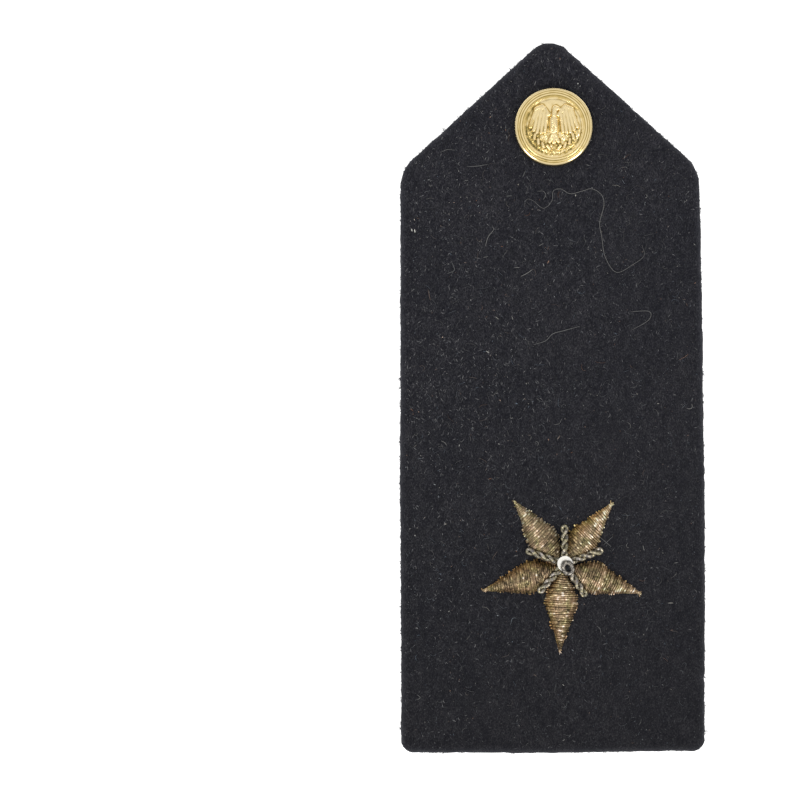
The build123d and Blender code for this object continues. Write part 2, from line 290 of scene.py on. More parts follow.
# The button's profile from its foot inwards: radius and height, as shares of its own radius and rim height
RING_RADII, RING_HEIGHTS = np.array(
    (
        (0.955, 0.00),
        (1.000, 0.34),
        (0.996, 0.56),
        (0.986, 0.72),
        (0.970, 0.800),
        (0.956, 0.842),
        (0.930, 0.890),
        (0.905, 0.932),
        (0.865, 0.945),
        (0.835, 0.965),
        (0.790, 0.99),
        (0.745, 0.95),
    )
).T
RING_GROOVES = (0.912, 0.858, 0.800)
FIELD_R = BUTTON_R * RING_RADII[-1]

# The button's raised figure: rounded bars from one place to another, as shares of the field's radius
BAR = "skin x0 y0 x1 y1 width height"
FIGURE = table(
    BAR,
    ("scales", 0.00, 0.22, 0.00, -0.14, 0.38, 1.00),  # body
    ("scales", 0.01, 0.36, 0.03, 0.56, 0.22, 0.95),  # neck
    ("plain", 0.05, 0.63, 0.10, 0.62, 0.22, 1.05),  # head
    ("plain", 0.18, 0.60, 0.25, 0.56, 0.09, 0.85),  # beak
    ("barbs", -0.05, -0.28, -0.15, -0.52, 0.15, 0.72),  # tail
    ("barbs", 0.00, -0.28, 0.00, -0.56, 0.15, 0.80),
    ("barbs", 0.05, -0.28, 0.15, -0.52, 0.15, 0.72),
)
WING = table(
    BAR,
    ("coverts", 0.17, 0.40, 0.37, 0.67, 0.165, 0.90),
    ("coverts", 0.39, 0.685, 0.61, 0.60, 0.175, 0.92),
    ("barbs", 0.24, 0.40, 0.31, -0.20, 0.14, 0.78),
    ("barbs", 0.33, 0.52, 0.44, -0.22, 0.14, 0.72),
    ("barbs", 0.42, 0.60, 0.57, -0.20, 0.14, 0.78),
    ("barbs", 0.51, 0.60, 0.69, -0.13, 0.14, 0.72),
    ("barbs", 0.60, 0.58, 0.80, -0.02, 0.14, 0.78),
)
LEAVES_A_SIDE = 4
LEAF_FIRST = 14.0
LEAF_LAST = 62.0
LEAF_LEAN = 40.0
LEAF_CIRCLE = 0.74
LEAF_LENGTH = 0.15
LEAF_WIDTH = 0.11
LEAF_HEIGHT = 0.70

# Loose threads and hairs on the cloth, drawn one by one: tint from dark to pale, radius in mm, hue from blue
# to red, and points in mm on the board
LINT = (
    (0.40, 0.042, 0.45, (-4.9, 35.8), (-4.6, 37.1), (-3.4, 37.0), (-1.4, 35.5), (0.2, 36.8), (0.5, 38.7),
     (1.9, 39.1), (3.7, 38.2), (6.0, 38.7), (7.8, 39.1), (9.6, 37.9), (10.0, 35.9), (9.2, 32.7), (9.6, 29.9),
     (10.2, 26.3), (12.3, 23.4), (15.5, 24.9), (17.5, 26.5), (17.1, 28.5)),
    (0.38, 0.042, 0.45, (15.0, 16.0), (18.4, 16.0), (18.3, 14.4), (15.1, 12.5)),
    (0.30, 0.06, 0.45, (-3.3, 9.9), (-1.1, 10.6), (0.3, 11.9), (2.4, 12.5), (5.4, 13.3)),
    (0.42, 0.05, 0.45, (-10.9, 32.1), (-10.8, 31.4), (-11.7, 30.3), (-12.1, 29.2), (-12.3, 28.4)),
    (0.45, 0.055, 0.45, (-5.7, 22.7), (-4.5, 23.3), (-3.5, 24.0)),
    (0.34, 0.05, 0.45, (-2.5, 38.7), (-1.4, 38.7), (-0.9, 38.0), (-1.4, 37.1)),
    (0.30, 0.05, 0.45, (-4.7, 42.6), (-5.2, 41.4)),
    (0.30, 0.05, 0.45, (-8.4, 37.8), (-7.2, 37.9)),
    (0.20, 0.06, 0.45, (-18.8, 25.8), (-18.3, 24.7), (-18.2, 23.9), (-19.5, 23.3)),
    (0.42, 0.05, 0.45, (-6.9, 24.4), (-5.9, 24.4)),
    (0.40, 0.05, 0.45, (-2.3, 28.4), (-1.4, 28.9)),
    (0.38, 0.05, 0.45, (-12.7, 26.3), (-11.8, 26.5)),
    (0.62, 0.05, 0.45, (-10.5, 15.2), (-9.9, 14.7)),
    (0.50, 0.06, 0.45, (-7.4, 15.2), (-7.2, 14.6)),
    (0.32, 0.05, 0.45, (-15.7, 43.4), (-13.6, 43.5), (-11.8, 43.8)),
    (0.32, 0.045, 0.45, (-20.7, 46.1), (-19.4, 46.6), (-18.0, 46.5)),
    (0.42, 0.038, 0.45, (9.0, -26.4), (9.9, -27.2), (11.0, -28.1)),
    (0.36, 0.034, 0.45, (9.5, -27.9), (11.4, -26.2)),
    (0.34, 0.05, 0.45, (-25.6, -55.8), (-25.0, -56.3), (-25.6, -56.8)),
    (0.95, 0.075, 0.45, (-26.15, 31.8), (-26.05, 31.3)),
    (0.95, 0.085, 0.45, (-25.6, 31.7), (-25.5, 31.1)),
    (0.85, 0.09, 0.45, (1.8, -54.0), (2.0, -54.2)),
    (0.80, 0.09, 0.45, (-17.0, 37.7), (-16.8, 37.6)),
    (0.60, 0.08, 0.45, (-15.8, 37.7), (-15.6, 37.5)),
    (0.85, 0.10, 0.75, (-9.8, -0.5), (-9.6, -0.6)),
    (0.62, 0.08, 0.45, (-25.4, -3.7), (-25.3, -3.9)),
    (0.58, 0.08, 0.45, (-23.2, -6.8), (-23.1, -7.0)),
    (0.60, 0.07, 0.45, (-0.7, -12.2), (-0.6, -12.4)),
    (0.42, 0.05, 0.45, (-20.8, -8.1), (-20.2, -8.4), (-19.7, -9.0)),
    (0.36, 0.13, 0.0, (-6.8, -1.1), (-6.4, -1.2)),
    (0.45, 0.05, 0.45, (-7.9, -3.8), (-7.4, -4.0)),
    (0.50, 0.07, 0.45, (-14.8, -5.6), (-14.7, -5.8)),
    (0.32, 0.045, 0.45, (-3.2, -8.6), (-2.9, -8.3), (-2.5, -8.7), (-2.8, -9.1)),
    (0.32, 0.045, 0.45, (-1.5, -16.0), (-1.1, -16.1), (-1.0, -16.7)),
    (0.40, 0.10, 1.0, (-9.3, 28.4), (-9.1, 28.3)),
    (0.45, 0.09, 1.0, (-14.0, 37.1), (-13.9, 37.0)),
    (0.26, 0.045, 0.75, (-23.1, 20.3), (-22.9, 19.3), (-22.7, 18.3)),
    (0.42, 0.055, 0.45, (17.0, -27.9), (17.2, -28.9)),
    (0.60, 0.07, 0.45, (20.7, -29.3), (20.8, -29.5)),
    (0.40, 0.05, 0.45, (22.8, -31.3), (23.6, -31.2)),
    (0.62, 0.06, 0.45, (21.7, -38.8), (22.6, -38.8)),
    (0.62, 0.08, 0.45, (17.0, -44.6), (17.1, -44.8)),
    (0.45, 0.07, 0.45, (14.8, -42.3), (14.9, -42.5)),
    (0.30, 0.045, 0.45, (8.2, -43.0), (8.8, -43.5), (9.0, -44.3)),
    (0.34, 0.05, 0.45, (5.2, -18.8), (5.6, -19.2)),
)


# Materials


class Shader:
    """The shader nodes of a material or of the sky, made and joined by short calls."""

    def __init__(self, owner, end="Principled BSDF"):
        owner.use_nodes = True
        self.owner = owner
        self.tree = owner.node_tree
        self.end = self.tree.nodes[end]

    def fill(self, node, values):
        """Sets a node's sockets, to a plain value or by a link where the value is itself a socket."""
        for key, value in values.items():
            socket = node.inputs[key]
            if isinstance(value, bpy.types.NodeSocket):
                self.tree.links.new(value, socket)
            else:
                socket.default_value = (*value, 1) if socket.type == "RGBA" else value

    def node(self, kind, values=None, **settings):
        """A node with its settings and its sockets."""
        made = self.tree.nodes.new("ShaderNode" + kind)
        for key, value in settings.items():
            setattr(made, key, value)
        self.fill(made, values or {})
        return made

    def finish(self, values):
        """Sets the last node's sockets and gives back the material or the sky."""
        self.fill(self.end, values)
        return self.owner

    def coordinate(self, axis, kind="Object"):
        """One of the coordinates of a place."""
        source = self.node("TexCoord").outputs[kind]
        return self.node("SeparateXYZ", {"Vector": source}).outputs[axis]

    def place(self, stretch=(1, 1, 1)):
        """Object coordinates, stretched: a larger number packs a texture tighter along that axis."""
        source = self.node("TexCoord").outputs["Object"]
        return self.node("Mapping", {"Vector": source, "Scale": stretch}).outputs["Vector"]

    def noise(self, size, stretch=(1, 1, 1), detail=3.0, roughness=0.55):
        """A noise whose blobs are about a size across."""
        grain = {"Scale": 0.5 / size, "Detail": detail, "Roughness": roughness}
        return self.node("TexNoise", {"Vector": self.place(stretch), **grain}).outputs["Fac"]

    def attribute(self, name):
        """A number that each point of a mesh carries."""
        return self.node("Attribute", attribute_name=name).outputs["Fac"]

    def ramp(self, value, *stops):
        """Colours for a value. A stop is its place, red, green and blue."""
        made = self.node("ValToRGB", {"Fac": value})
        elements = made.color_ramp.elements
        while len(elements) < len(stops):
            elements.new(0.5)
        for element, (at, *colour) in zip(elements, stops):
            element.position = at
            element.color = (*colour, 1)
        return made.outputs["Color"]

    def levels(self, value, low, high, to_low=0.0, to_high=1.0):
        """A value's range taken to another one."""
        ends = {"From Min": low, "From Max": high, "To Min": to_low, "To Max": to_high}
        return self.node("MapRange", {"Value": value, **ends}).outputs["Result"]

    def mix(self, share, first, second, blend="MIX"):
        """Two colours mixed by a share. The sockets go by number, because the node's names repeat."""
        values = {0: share, 6: first, 7: second}
        return self.node("Mix", values, data_type="RGBA", blend_type=blend).outputs[2]

    def times(self, first, *others):
        """Colours multiplied together."""
        for other in others:
            first = self.mix(1.0, first, other, "MULTIPLY")
        return first

    def varied(self, value, texture, share):
        """A value with a share of a texture's swing about its middle."""
        swing = self.levels(texture, 0.3, 0.7, -0.5, 0.5)
        return self.node("Math", {0: swing, 1: share, 2: value}, operation="MULTIPLY_ADD").outputs["Value"]

    def bump(self, height, depth, strength):
        """The normal of a surface with relief from a value, with its full depth in metres."""
        values = {"Strength": strength, "Distance": depth, "Height": height}
        return self.node("Bump", values).outputs["Normal"]


def new_shader(name):
    """The nodes of a new material."""
    return Shader(bpy.data.materials.new(name))


def wool_material():
    """Dark navy melton: a mottled, matt nap that runs along the board, with painted light that falls off
    towards the square end.
    """
    wool = new_shader("wool_melton")
    fine = wool.noise(0.095 * MM, NAP_STRETCH, detail=2, roughness=0.7)
    nap = wool.varied(fine, wool.noise(0.6 * MM, NAP_STRETCH, detail=4, roughness=0.65), 0.15)
    base = wool.ramp(
        nap, (0.24, 0.0031, 0.0033, 0.0054), (0.50, 0.0131, 0.0131, 0.0176), (0.80, 0.059, 0.058, 0.064)
    )
    clouds = wool.ramp(wool.noise(7 * MM), (0.3, 0.84, 0.85, 0.88), (0.7, 1.14, 1.12, 1.10))
    # Painted light: the cloth painted darker towards the square end and lighter towards the point
    painted_light_falloff = wool.ramp(
        wool.levels(wool.coordinate("Y"), SQUARE_END_Y, TIP_Y),
        (0.0, 0.76, 0.75, 0.72),
        (0.50, 0.98, 0.98, 0.97),
        (0.88, 1.03, 1.03, 1.05),
        (1.0, 1.15, 1.15, 1.17),
    )
    return wool.finish(
        {
            "Base Color": wool.times(base, clouds, painted_light_falloff),
            "Roughness": 0.95,
            "Specular IOR Level": 0.12,
            "Sheen Weight": 0.06,
            "Sheen Roughness": 0.6,
            "Sheen Tint": (0.75, 0.8, 0.95),
            "Normal": wool.bump(nap, depth=0.12 * MM, strength=0.9),
        }
    )


def fibre_material(name, stops, hues=None):
    """Fibres whose colour follows the tint that each one carries, and its hue where there are hues."""
    fibre = new_shader(name)
    colour = fibre.ramp(fibre.attribute("tint"), *stops)
    if hues:
        colour = fibre.times(colour, fibre.ramp(fibre.attribute("hue"), *hues))
    return fibre.finish({"Base Color": colour, "Roughness": 0.7, "Specular IOR Level": 0.3})


def leather_material():
    """Black leather with a fine pebbled grain, scuffed a little."""
    leather = new_shader("strap_black_leather")
    cells = {"Vector": leather.place(), "Scale": PEBBLES_A_METRE}
    pebbles = leather.node("TexVoronoi", cells, feature="DISTANCE_TO_EDGE").outputs["Distance"]
    grain = leather.levels(pebbles, 0.0, 0.35)
    scuff = leather.noise(5 * MM, (1, 0.4, 1), detail=5)
    return leather.finish(
        {
            "Base Color": leather.ramp(scuff, (0.35, 0.012, 0.011, 0.011), (0.7, 0.035, 0.032, 0.030)),
            "Roughness": leather.levels(scuff, 0.3, 0.7, 0.38, 0.62),
            "Normal": leather.bump(grain, depth=0.06 * MM, strength=0.6),
        }
    )


def gilt_material():
    """Gilt brass: polished on the high places, brown and olive in the hollows and where shade is painted in.
    """
    gilt = new_shader("button_gilt")
    dirt_and_shade_mark = gilt.attribute("dirt_and_shade_mark")
    grime_and_shade = gilt.varied(dirt_and_shade_mark, gilt.noise(0.9 * MM, detail=4), 0.15)
    pitted = {0: gilt.noise(0.16 * MM), 1: gilt.levels(dirt_and_shade_mark, 0.45, 1.0)}
    pits = gilt.node("Math", pitted, operation="MULTIPLY").outputs["Value"]
    colour = gilt.ramp(
        grime_and_shade,
        (0.12, 0.93, 0.755, 0.415),
        (0.36, 0.75, 0.560, 0.225),
        (0.62, 0.46, 0.335, 0.105),
        (0.90, 0.20, 0.165, 0.060),
    )
    return gilt.finish(
        {
            "Base Color": colour,
            "Roughness": gilt.levels(grime_and_shade, 0.3, 0.9, 0.15, 0.55),
            "Metallic": 1.0,
            "Normal": gilt.bump(pits, depth=0.02 * MM, strength=0.7),
        }
    )


def plain_brass_material():
    """Satin brass of the hidden post, a little dull."""
    brass = new_shader("post_satin_brass")
    patch = brass.noise(2 * MM, detail=4)
    return brass.finish(
        {
            "Base Color": brass.ramp(patch, (0.3, 0.50, 0.36, 0.15), (0.7, 0.72, 0.55, 0.28)),
            "Roughness": brass.levels(patch, 0.3, 0.7, 0.30, 0.48),
            "Metallic": 1.0,
            "Normal": brass.bump(brass.noise(0.3 * MM), depth=0.01 * MM, strength=0.5),
        }
    )


def thread_material():
    """Tarnished gold thread: patches of olive and brown, the flank that faces the upper left ochre and painted
    brighter, the other a painted pinkish sheen, and painted glints from the tints.
    """
    thread = new_shader("star_gold_thread")
    speckle = thread.noise(0.15 * MM, detail=2)
    colour = thread.ramp(
        thread.varied(thread.attribute("tint"), speckle, 0.28),
        (0.04, 0.066, 0.048, 0.030),
        (0.28, 0.270, 0.202, 0.128),
        (0.48, 0.450, 0.338, 0.218),
        (0.68, 0.760, 0.610, 0.440),
        (0.88, 1.000, 0.950, 0.880),
    )
    tarnish = thread.ramp(
        thread.noise(0.8 * MM), (0.36, 0.88, 0.96, 0.72), (0.5, 0.99, 0.98, 0.87), (0.64, 1.07, 0.98, 0.94)
    )
    upper = thread.levels(thread.coordinate("Y"), STAR_Y - 2 * MM, STAR_Y + 6 * MM)
    olive = thread.ramp(upper, (0.0, 1.0, 1.0, 1.0), (1.0, 0.97, 1.0, 1.0))
    # Painted light by the way a flank faces: ochre and brighter towards the upper left, a pale pinkish sheen
    # towards the lower right
    flank = thread.ramp(
        thread.levels(thread.attribute("flank"), -1.0, 1.0),
        (0.05, 1.14, 1.02, 0.95),
        (0.40, 1.0, 1.0, 1.0),
        (0.60, 1.0, 1.0, 1.0),
        (0.95, 1.42, 1.16, 0.76),
    )
    return thread.finish(
        {
            "Base Color": thread.times(colour, thread.times(tarnish, olive), flank),
            "Roughness": thread.levels(speckle, 0.3, 0.7, 0.26, 0.42),
            "Metallic": 0.66,
        }
    )


def coil_material():
    """Tarnished silver-gilt purl: grey-green, with yellow where it is worn bright."""
    coil = new_shader("star_coiled_wire")
    wear = coil.noise(0.22 * MM)
    gilt = coil.ramp(wear, (0.32, 0.045, 0.048, 0.038), (0.52, 0.15, 0.15, 0.11), (0.78, 0.60, 0.56, 0.33))
    bare = coil.ramp(wear, (0.32, 0.055, 0.055, 0.058), (0.52, 0.165, 0.165, 0.16), (0.78, 0.62, 0.61, 0.56))
    shade = coil.ramp(coil.attribute("tint"), (0.0, 0.25, 0.26, 0.25), (1.0, 2.66, 2.43, 2.32))
    return coil.finish(
        {
            "Base Color": coil.times(coil.mix(coil.attribute("silver"), gilt, bare), shade),
            "Roughness": coil.levels(wear, 0.3, 0.7, 0.42, 0.28),
            "Metallic": 0.9,
        }
    )


def spangle_material():
    """Bright, cream-white metal with light scratches."""
    disc = new_shader("star_bright_spangle")
    patch = disc.noise(0.6 * MM, detail=4)
    colour = disc.ramp(patch, (0.3, 0.97, 0.93, 0.84), (0.7, 1.0, 0.985, 0.94))
    return disc.finish(
        {
            # Darkened round the knot: grime and painted shadow
            "Base Color": disc.mix(disc.attribute("grime_and_shade"), colour, (0.05, 0.05, 0.04)),
            "Roughness": disc.levels(patch, 0.3, 0.7, 0.22, 0.32),
            "Metallic": 0.8,
            "Normal": disc.bump(disc.noise(0.12 * MM), depth=0.01 * MM, strength=0.3),
        }
    )


def floor_material():
    """A white floor, lit up a little as on a light table."""
    lit = {"Emission Color": (1, 1, 1), "Emission Strength": 0.75}
    return new_shader("white_floor").finish({"Base Color": (0.9, 0.9, 0.9), "Roughness": 0.9, **lit})


WOOL = wool_material()
NAP = fibre_material(
    "wool_fibres", [(0.0, 0.005, 0.0055, 0.008), (0.5, 0.043, 0.044, 0.052), (1.0, 0.30, 0.30, 0.30)]
)
FLECK = fibre_material(
    "wool_lint",
    [(0.0, 0.06, 0.065, 0.07), (0.35, 0.16, 0.16, 0.16), (0.7, 0.42, 0.41, 0.38), (1.0, 0.85, 0.84, 0.78)],
    [(0.0, 0.70, 0.90, 1.15), (0.35, 0.98, 1.0, 1.02), (0.60, 1.02, 1.0, 0.95), (1.0, 1.6, 0.72, 0.38)],
)
GILT = gilt_material()
THREAD = thread_material()
COIL = coil_material()
SPANGLE = spangle_material()
LEATHER = leather_material()


# Mesh building


def new_piece(name, points, faces, material, marks=None, replaces=()):
    """A mesh object that rides on the part, with its material and marks at its points."""
    mesh = bpy.data.meshes.new(name)
    mesh.from_pydata(points, [], faces)
    for key, values in (marks or {}).items():
        mesh.attributes.new(key, "FLOAT", "POINT").data.foreach_set("value", np.asarray(values, np.float32))
    mesh.materials.append(material)
    mesh.polygons.foreach_set("use_smooth", [True] * len(mesh.polygons))
    mesh.update()
    piece = bpy.data.objects.new(name, mesh)
    bpy.context.scene.collection.objects.link(piece)
    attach(piece, "root")
    if replaces:
        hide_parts(*replaces)
    return piece


def strip_faces(rows, columns, close_rows=False):
    """Quads between rows of points. Each row is a closed ring."""
    count = rows if close_rows else rows - 1
    row, column = np.meshgrid(np.arange(count), np.arange(columns), indexing="ij")
    after, beside = (row + 1) % rows, (column + 1) % columns
    here, above = row * columns, after * columns
    return np.stack([here + column, here + beside, above + beside, above + column], -1).reshape(-1, 4)


class Bundle:
    """Points and faces of many small shapes, gathered for one mesh."""

    def __init__(self):
        self.points = []
        self.faces = []
        self.tints = []
        self.count = 0

    def add(self, points, faces, tint):
        """Adds one shape, with a tint for all of it or for each of its points."""
        self.points.append(points)
        self.faces.extend((faces + self.count).tolist())
        self.tints.append(np.broadcast_to(tint, len(points)))
        self.count += len(points)

    def piece(self, name, material, slot, replaces=(), **marks):
        """The mesh of all the shapes, with any further numbers that its points carry."""
        marks["tint"] = np.concatenate(self.tints)
        new_piece(name, np.concatenate(self.points), self.faces, material, marks, replaces)


def unit(vectors):
    """Directions of a length of 1."""
    return vectors / np.maximum(np.linalg.norm(vectors, axis=-1, keepdims=True), 1e-12)


def taper(count, end, power):
    """Shares that swell from a path's ends to its middle."""
    return np.sin(np.linspace(end, math.pi - end, count)) ** power


def lengths_along(path):
    """How far along a path each of its points is."""
    return np.concatenate([[0], np.cumsum(np.linalg.norm(np.diff(path, axis=0), axis=1))])


def ring_ways(path):
    """The directions along a closed path, at each of its points."""
    return unit(np.roll(path, -1, axis=0) - np.roll(path, 1, axis=0))


def carried_frames(path, closed):
    """Two directions square to a path at each of its points, carried along it without twist."""
    along = ring_ways(path) if closed else unit(np.gradient(path, axis=0))
    start = np.array([0.0, 0.0, 1.0]) if abs(along[0][2]) < 0.9 else np.array([1.0, 0.0, 0.0])
    side = []
    for direction in along:
        start = start - (start @ direction) * direction
        start = start / np.linalg.norm(start)
        side.append(start)
    side = np.array(side)
    return side, np.cross(along, side)


def tube_into(bundle, path, radius, sides, tint, closed=False, ridges=None, groove=0.0):
    """Adds a round tube to a bundle. Its radius and its tint may change along its path.

    ridges is (pitch, depth): a wire wound round it in a helix, with its depth as a share of the radius.
    groove is how much darker the tube's flanks are painted than its top: painted shade between it and the
    next.
    """
    side, other = carried_frames(path, closed)
    turns = angles_round(sides)
    radii = np.broadcast_to(np.asarray(radius, float).reshape(-1, 1), (len(path), sides))
    if ridges:
        pitch, depth = ridges
        phase = (lengths_along(path)[:, None] / pitch + turns[None, :] / TURN) % 1.0
        radii = radii * (1 - depth + depth * np.sqrt(np.maximum(1 - (2 * phase - 1) ** 2, 0)))
    cosines, sines = np.cos(turns)[None, :, None], np.sin(turns)[None, :, None]
    around = cosines * side[:, None, :] + sines * other[:, None, :]
    points = (path[:, None, :] + radii[..., None] * around).reshape(-1, 3)
    tint = np.repeat(tint, sides) if np.ndim(tint) else np.full(len(points), tint)
    # Painted shade: the flanks darker than the top
    if groove:
        up = points[:, 2] - np.repeat(path[:, 2], sides)
        tint = tint - groove * (1 - np.clip(up / np.max(radius), 0, 1))
    start = bundle.count
    bundle.add(points, strip_faces(len(path), sides, closed), tint)
    caps = [] if closed else [range(start, start + sides)[::-1], range(bundle.count - sides, bundle.count)]
    for cap in caps:
        bundle.faces.extend([cap[0], cap[corner], cap[corner + 1]] for corner in range(1, sides - 1))


def resampled(path, step, closed=False):
    """Points evenly spaced along a path, about a step apart."""
    path = np.asarray(path, float)
    if closed:
        path = np.vstack([path, path[:1]])
    along = lengths_along(path)
    places = np.linspace(0, along[-1], max(int(round(along[-1] / step)), 2), endpoint=not closed)
    return np.stack([np.interp(places, along, path[:, axis]) for axis in range(path.shape[1])], -1)


def softened(path, reach):
    """A path with its corners eased by averaging over a few neighbours on each side."""
    padded = np.vstack([np.repeat(path[:1], reach, axis=0), path, np.repeat(path[-1:], reach, axis=0)])
    total = np.cumsum(np.vstack([np.zeros((1, path.shape[1])), padded]), axis=0)
    window = 2 * reach + 1
    return (total[window:] - total[:-window]) / window


def through(points, step):
    """A smooth path through a few points."""
    points = np.asarray(points, float)
    ends = np.vstack([2 * points[0] - points[1], points, 2 * points[-1] - points[-2]])
    share = np.linspace(0, 1, 12, endpoint=False)[:, None]
    runs = []
    for before, start, end, after in zip(ends, ends[1:], ends[2:], ends[3:]):
        bend = 2 * before - 5 * start + 4 * end - after
        swing = 3 * start - before - 3 * end + after
        runs.append(0.5 * (2 * start + (end - before) * share + bend * share**2 + swing * share**3))
    return resampled(np.vstack([*runs, points[-1:]]), step)


def outline_ways(path):
    """The directions along and out of an anticlockwise outline, at each of its points."""
    along = ring_ways(path)
    return along, np.stack([along[:, 1], -along[:, 0]], -1)


def rounding(radius, steps):
    """Steps round an edge, from its flat lower end: how far in and how far up each of them lies."""
    angles = np.radians(np.linspace(0, 90, steps))
    return zip(radius * (1 - np.sin(angles)), radius * (1 - np.cos(angles)))


def circle(radius, height, turns):
    """Points round the origin, at a radius and a height."""
    return np.stack([radius * np.cos(turns), radius * np.sin(turns), np.full(len(turns), height)], -1)


class Ripples:
    """A smooth uneven height over the plane: waves in many directions, each about a length long."""

    def __init__(self, length, count=14):
        angles = random.uniform(0, TURN, count)
        lengths = length * random.uniform(0.6, 1.6, count)
        self.waves = np.stack([np.cos(angles), np.sin(angles)]) * (TURN / lengths)
        self.phases = random.uniform(0, TURN, count)
        self.size = math.sqrt(2 / count)

    def __call__(self, x, y):
        flat = np.stack([np.ravel(x), np.ravel(y)], -1)
        heights = np.sin(flat @ self.waves + self.phases).sum(-1) * self.size
        return heights.reshape(np.shape(x))


# Cloth-covered board


def board_outline():
    """The board's outline, anticlockwise from the lower right corner, evenly sampled."""
    half, shoulder = BOARD_WIDTH / 2, SHOULDER_WIDTH / 2
    corners = (
        (half, SQUARE_END_Y, CORNER_RADIUS),
        (shoulder, SHOULDER_Y, SHOULDER_RADIUS),
        (0.0, SHARP_TIP_Y, TIP_RADIUS),
        (-shoulder, SHOULDER_Y, SHOULDER_RADIUS),
        (-half, SQUARE_END_Y, CORNER_RADIUS),
    )
    points = []
    for index, (x, y, radius) in enumerate(corners):
        corner = np.array([x, y])
        into = unit(corner - np.array(corners[index - 1][:2]))
        out = unit(np.array(corners[(index + 1) % len(corners)][:2]) - corner)
        turn = math.acos(into @ out)
        start = corner - into * radius * math.tan(turn / 2)
        inward = np.array([-into[1], into[0]])
        for angle in np.linspace(0, turn, CORNER_STEPS):
            points.append(start + inward * radius * (1 - math.cos(angle)) + into * radius * math.sin(angle))
    points = resampled(points, OUTLINE_STEP, closed=True)
    middle, reach = (SQUARE_END_Y + SHOULDER_Y) / 2, (SHOULDER_Y - SQUARE_END_Y) / 2
    bow = np.maximum(1 - ((points[:, 1] - middle) / reach) ** 2, 0) * (np.abs(points[:, 0]) > 0.9 * shoulder)
    points[:, 0] += np.where(points[:, 0] > 0, SIDE_BULGE + RIGHT_BOW, -SIDE_BULGE) * bow
    across = np.clip(1 - ((points[:, 0] + END_BOW_LEFT) / (half - END_BOW_LEFT)) ** 2, 0, 1)
    points[:, 1] -= END_BOW * across * (points[:, 1] < SQUARE_END_Y + END_BAND)
    return points


outline = board_outline()
ahead, outward = outline_ways(outline)
angles = angles_round(len(outline))
edge_wave = sum(
    np.sin(cycles * angles + random.uniform(0, TURN)) / math.sqrt(cycles) for cycles in EDGE_CYCLES
)
outline = outline + outward * (EDGE_WAVE * edge_wave)[:, None]
billow = Ripples(BILLOW_SIZE)
pucker = Ripples(PUCKER_SIZE)
lumps = Ripples(LUMP_SIZE, 24)


def cloth_top(x, y):
    """Height of the cloth's face: crowned across, with slight unevenness."""
    crown = BOARD_TOP - BOARD_CROWN * (np.abs(x) / (BOARD_WIDTH / 2)) ** 2
    return crown - CLOTH_SINK + BILLOW_HEIGHT * billow(x, y) + PUCKER_HEIGHT * pucker(x, y)


def board_cloth():
    """The cloth over the board: underside, rolled edges, sides and the crowned face."""
    rings = []

    def ring(inset, height=None, below_face=0.0):
        flat = outline - outward * inset
        z = cloth_top(*flat.T) - below_face if height is None else np.full(len(flat), height)
        sway = EDGE_LUMPS * (1 - inset / FACE_ROLL) * lumps(outline[:, 0] + 1.3 * z, outline[:, 1] + 0.9 * z)
        rings.append(np.column_stack([flat + outward * sway[:, None], z]))

    spine_y = np.clip(outline[:, 1], SQUARE_END_Y + BOARD_WIDTH / 2, SHOULDER_Y)
    spine = np.column_stack([np.zeros(len(outline)), spine_y])
    under_edge = outline - outward * UNDER_ROLL
    for share in np.linspace(0.98, 0.1, 9):
        flat = under_edge + (spine - under_edge) * share
        rings.append(np.column_stack([flat, np.full(len(flat), BOARD_BOTTOM)]))
    for inset, rise in rounding(UNDER_ROLL, 7):
        ring(inset, BOARD_BOTTOM + rise)
    for share in (0.33, 0.67):
        ring(0.0, SIDE_FROM + (SIDE_TO - SIDE_FROM) * share)
    for below, inset in rounding(FACE_ROLL, 10):
        ring(inset, below_face=below)
    face_edge = outline - outward * FACE_ROLL
    for share in np.linspace(0, 1, 66)[1:]:
        flat = face_edge + (spine - face_edge) * share
        rings.append(np.column_stack([flat, cloth_top(*flat.T)]))
    faces = strip_faces(len(rings), len(outline)).tolist()
    cloth = new_piece("board_cloth", np.vstack(rings), faces, WOOL, replaces=("cloth_board",))


def inside_board(x, y, inset):
    """Which points are on the face, at least an inset away from its edge."""
    half = np.interp(y, [SQUARE_END_Y, SHOULDER_Y], [BOARD_WIDTH / 2, SHOULDER_WIDTH / 2]) - inset
    slope_room = (SHARP_TIP_Y - y) * math.cos(POINT_SLOPE) - np.abs(x) * math.sin(POINT_SLOPE)
    return (np.abs(x) < half) & (y > SQUARE_END_Y + inset) & (slope_room > inset) & (y < TIP_Y - inset)


def scatter(count, inset):
    """Random places on the face, clear of the button."""
    x = random.uniform(-BOARD_WIDTH / 2, BOARD_WIDTH / 2, 2 * count)
    y = random.uniform(SQUARE_END_Y, TIP_Y, 2 * count)
    keep = inside_board(x, y, inset) & (np.hypot(x - BUTTON_X, y - BUTTON_Y) > BUTTON_R)
    return x[keep][:count], y[keep][:count]


def dust_and_light(x, y):
    """How dusty the cloth is at a place, with painted light mixed in: both grow towards the point and the
    left; most half way up the left side, least near the lower right.
    """
    worst = 0.25 * np.exp(-(((y - 3 * MM) / (18 * MM)) ** 2)) * (x < 0)
    return np.clip(0.97 + 0.22 * y / TIP_Y - 0.18 * x / (BOARD_WIDTH / 2) + worst, 0.4, 1.6)


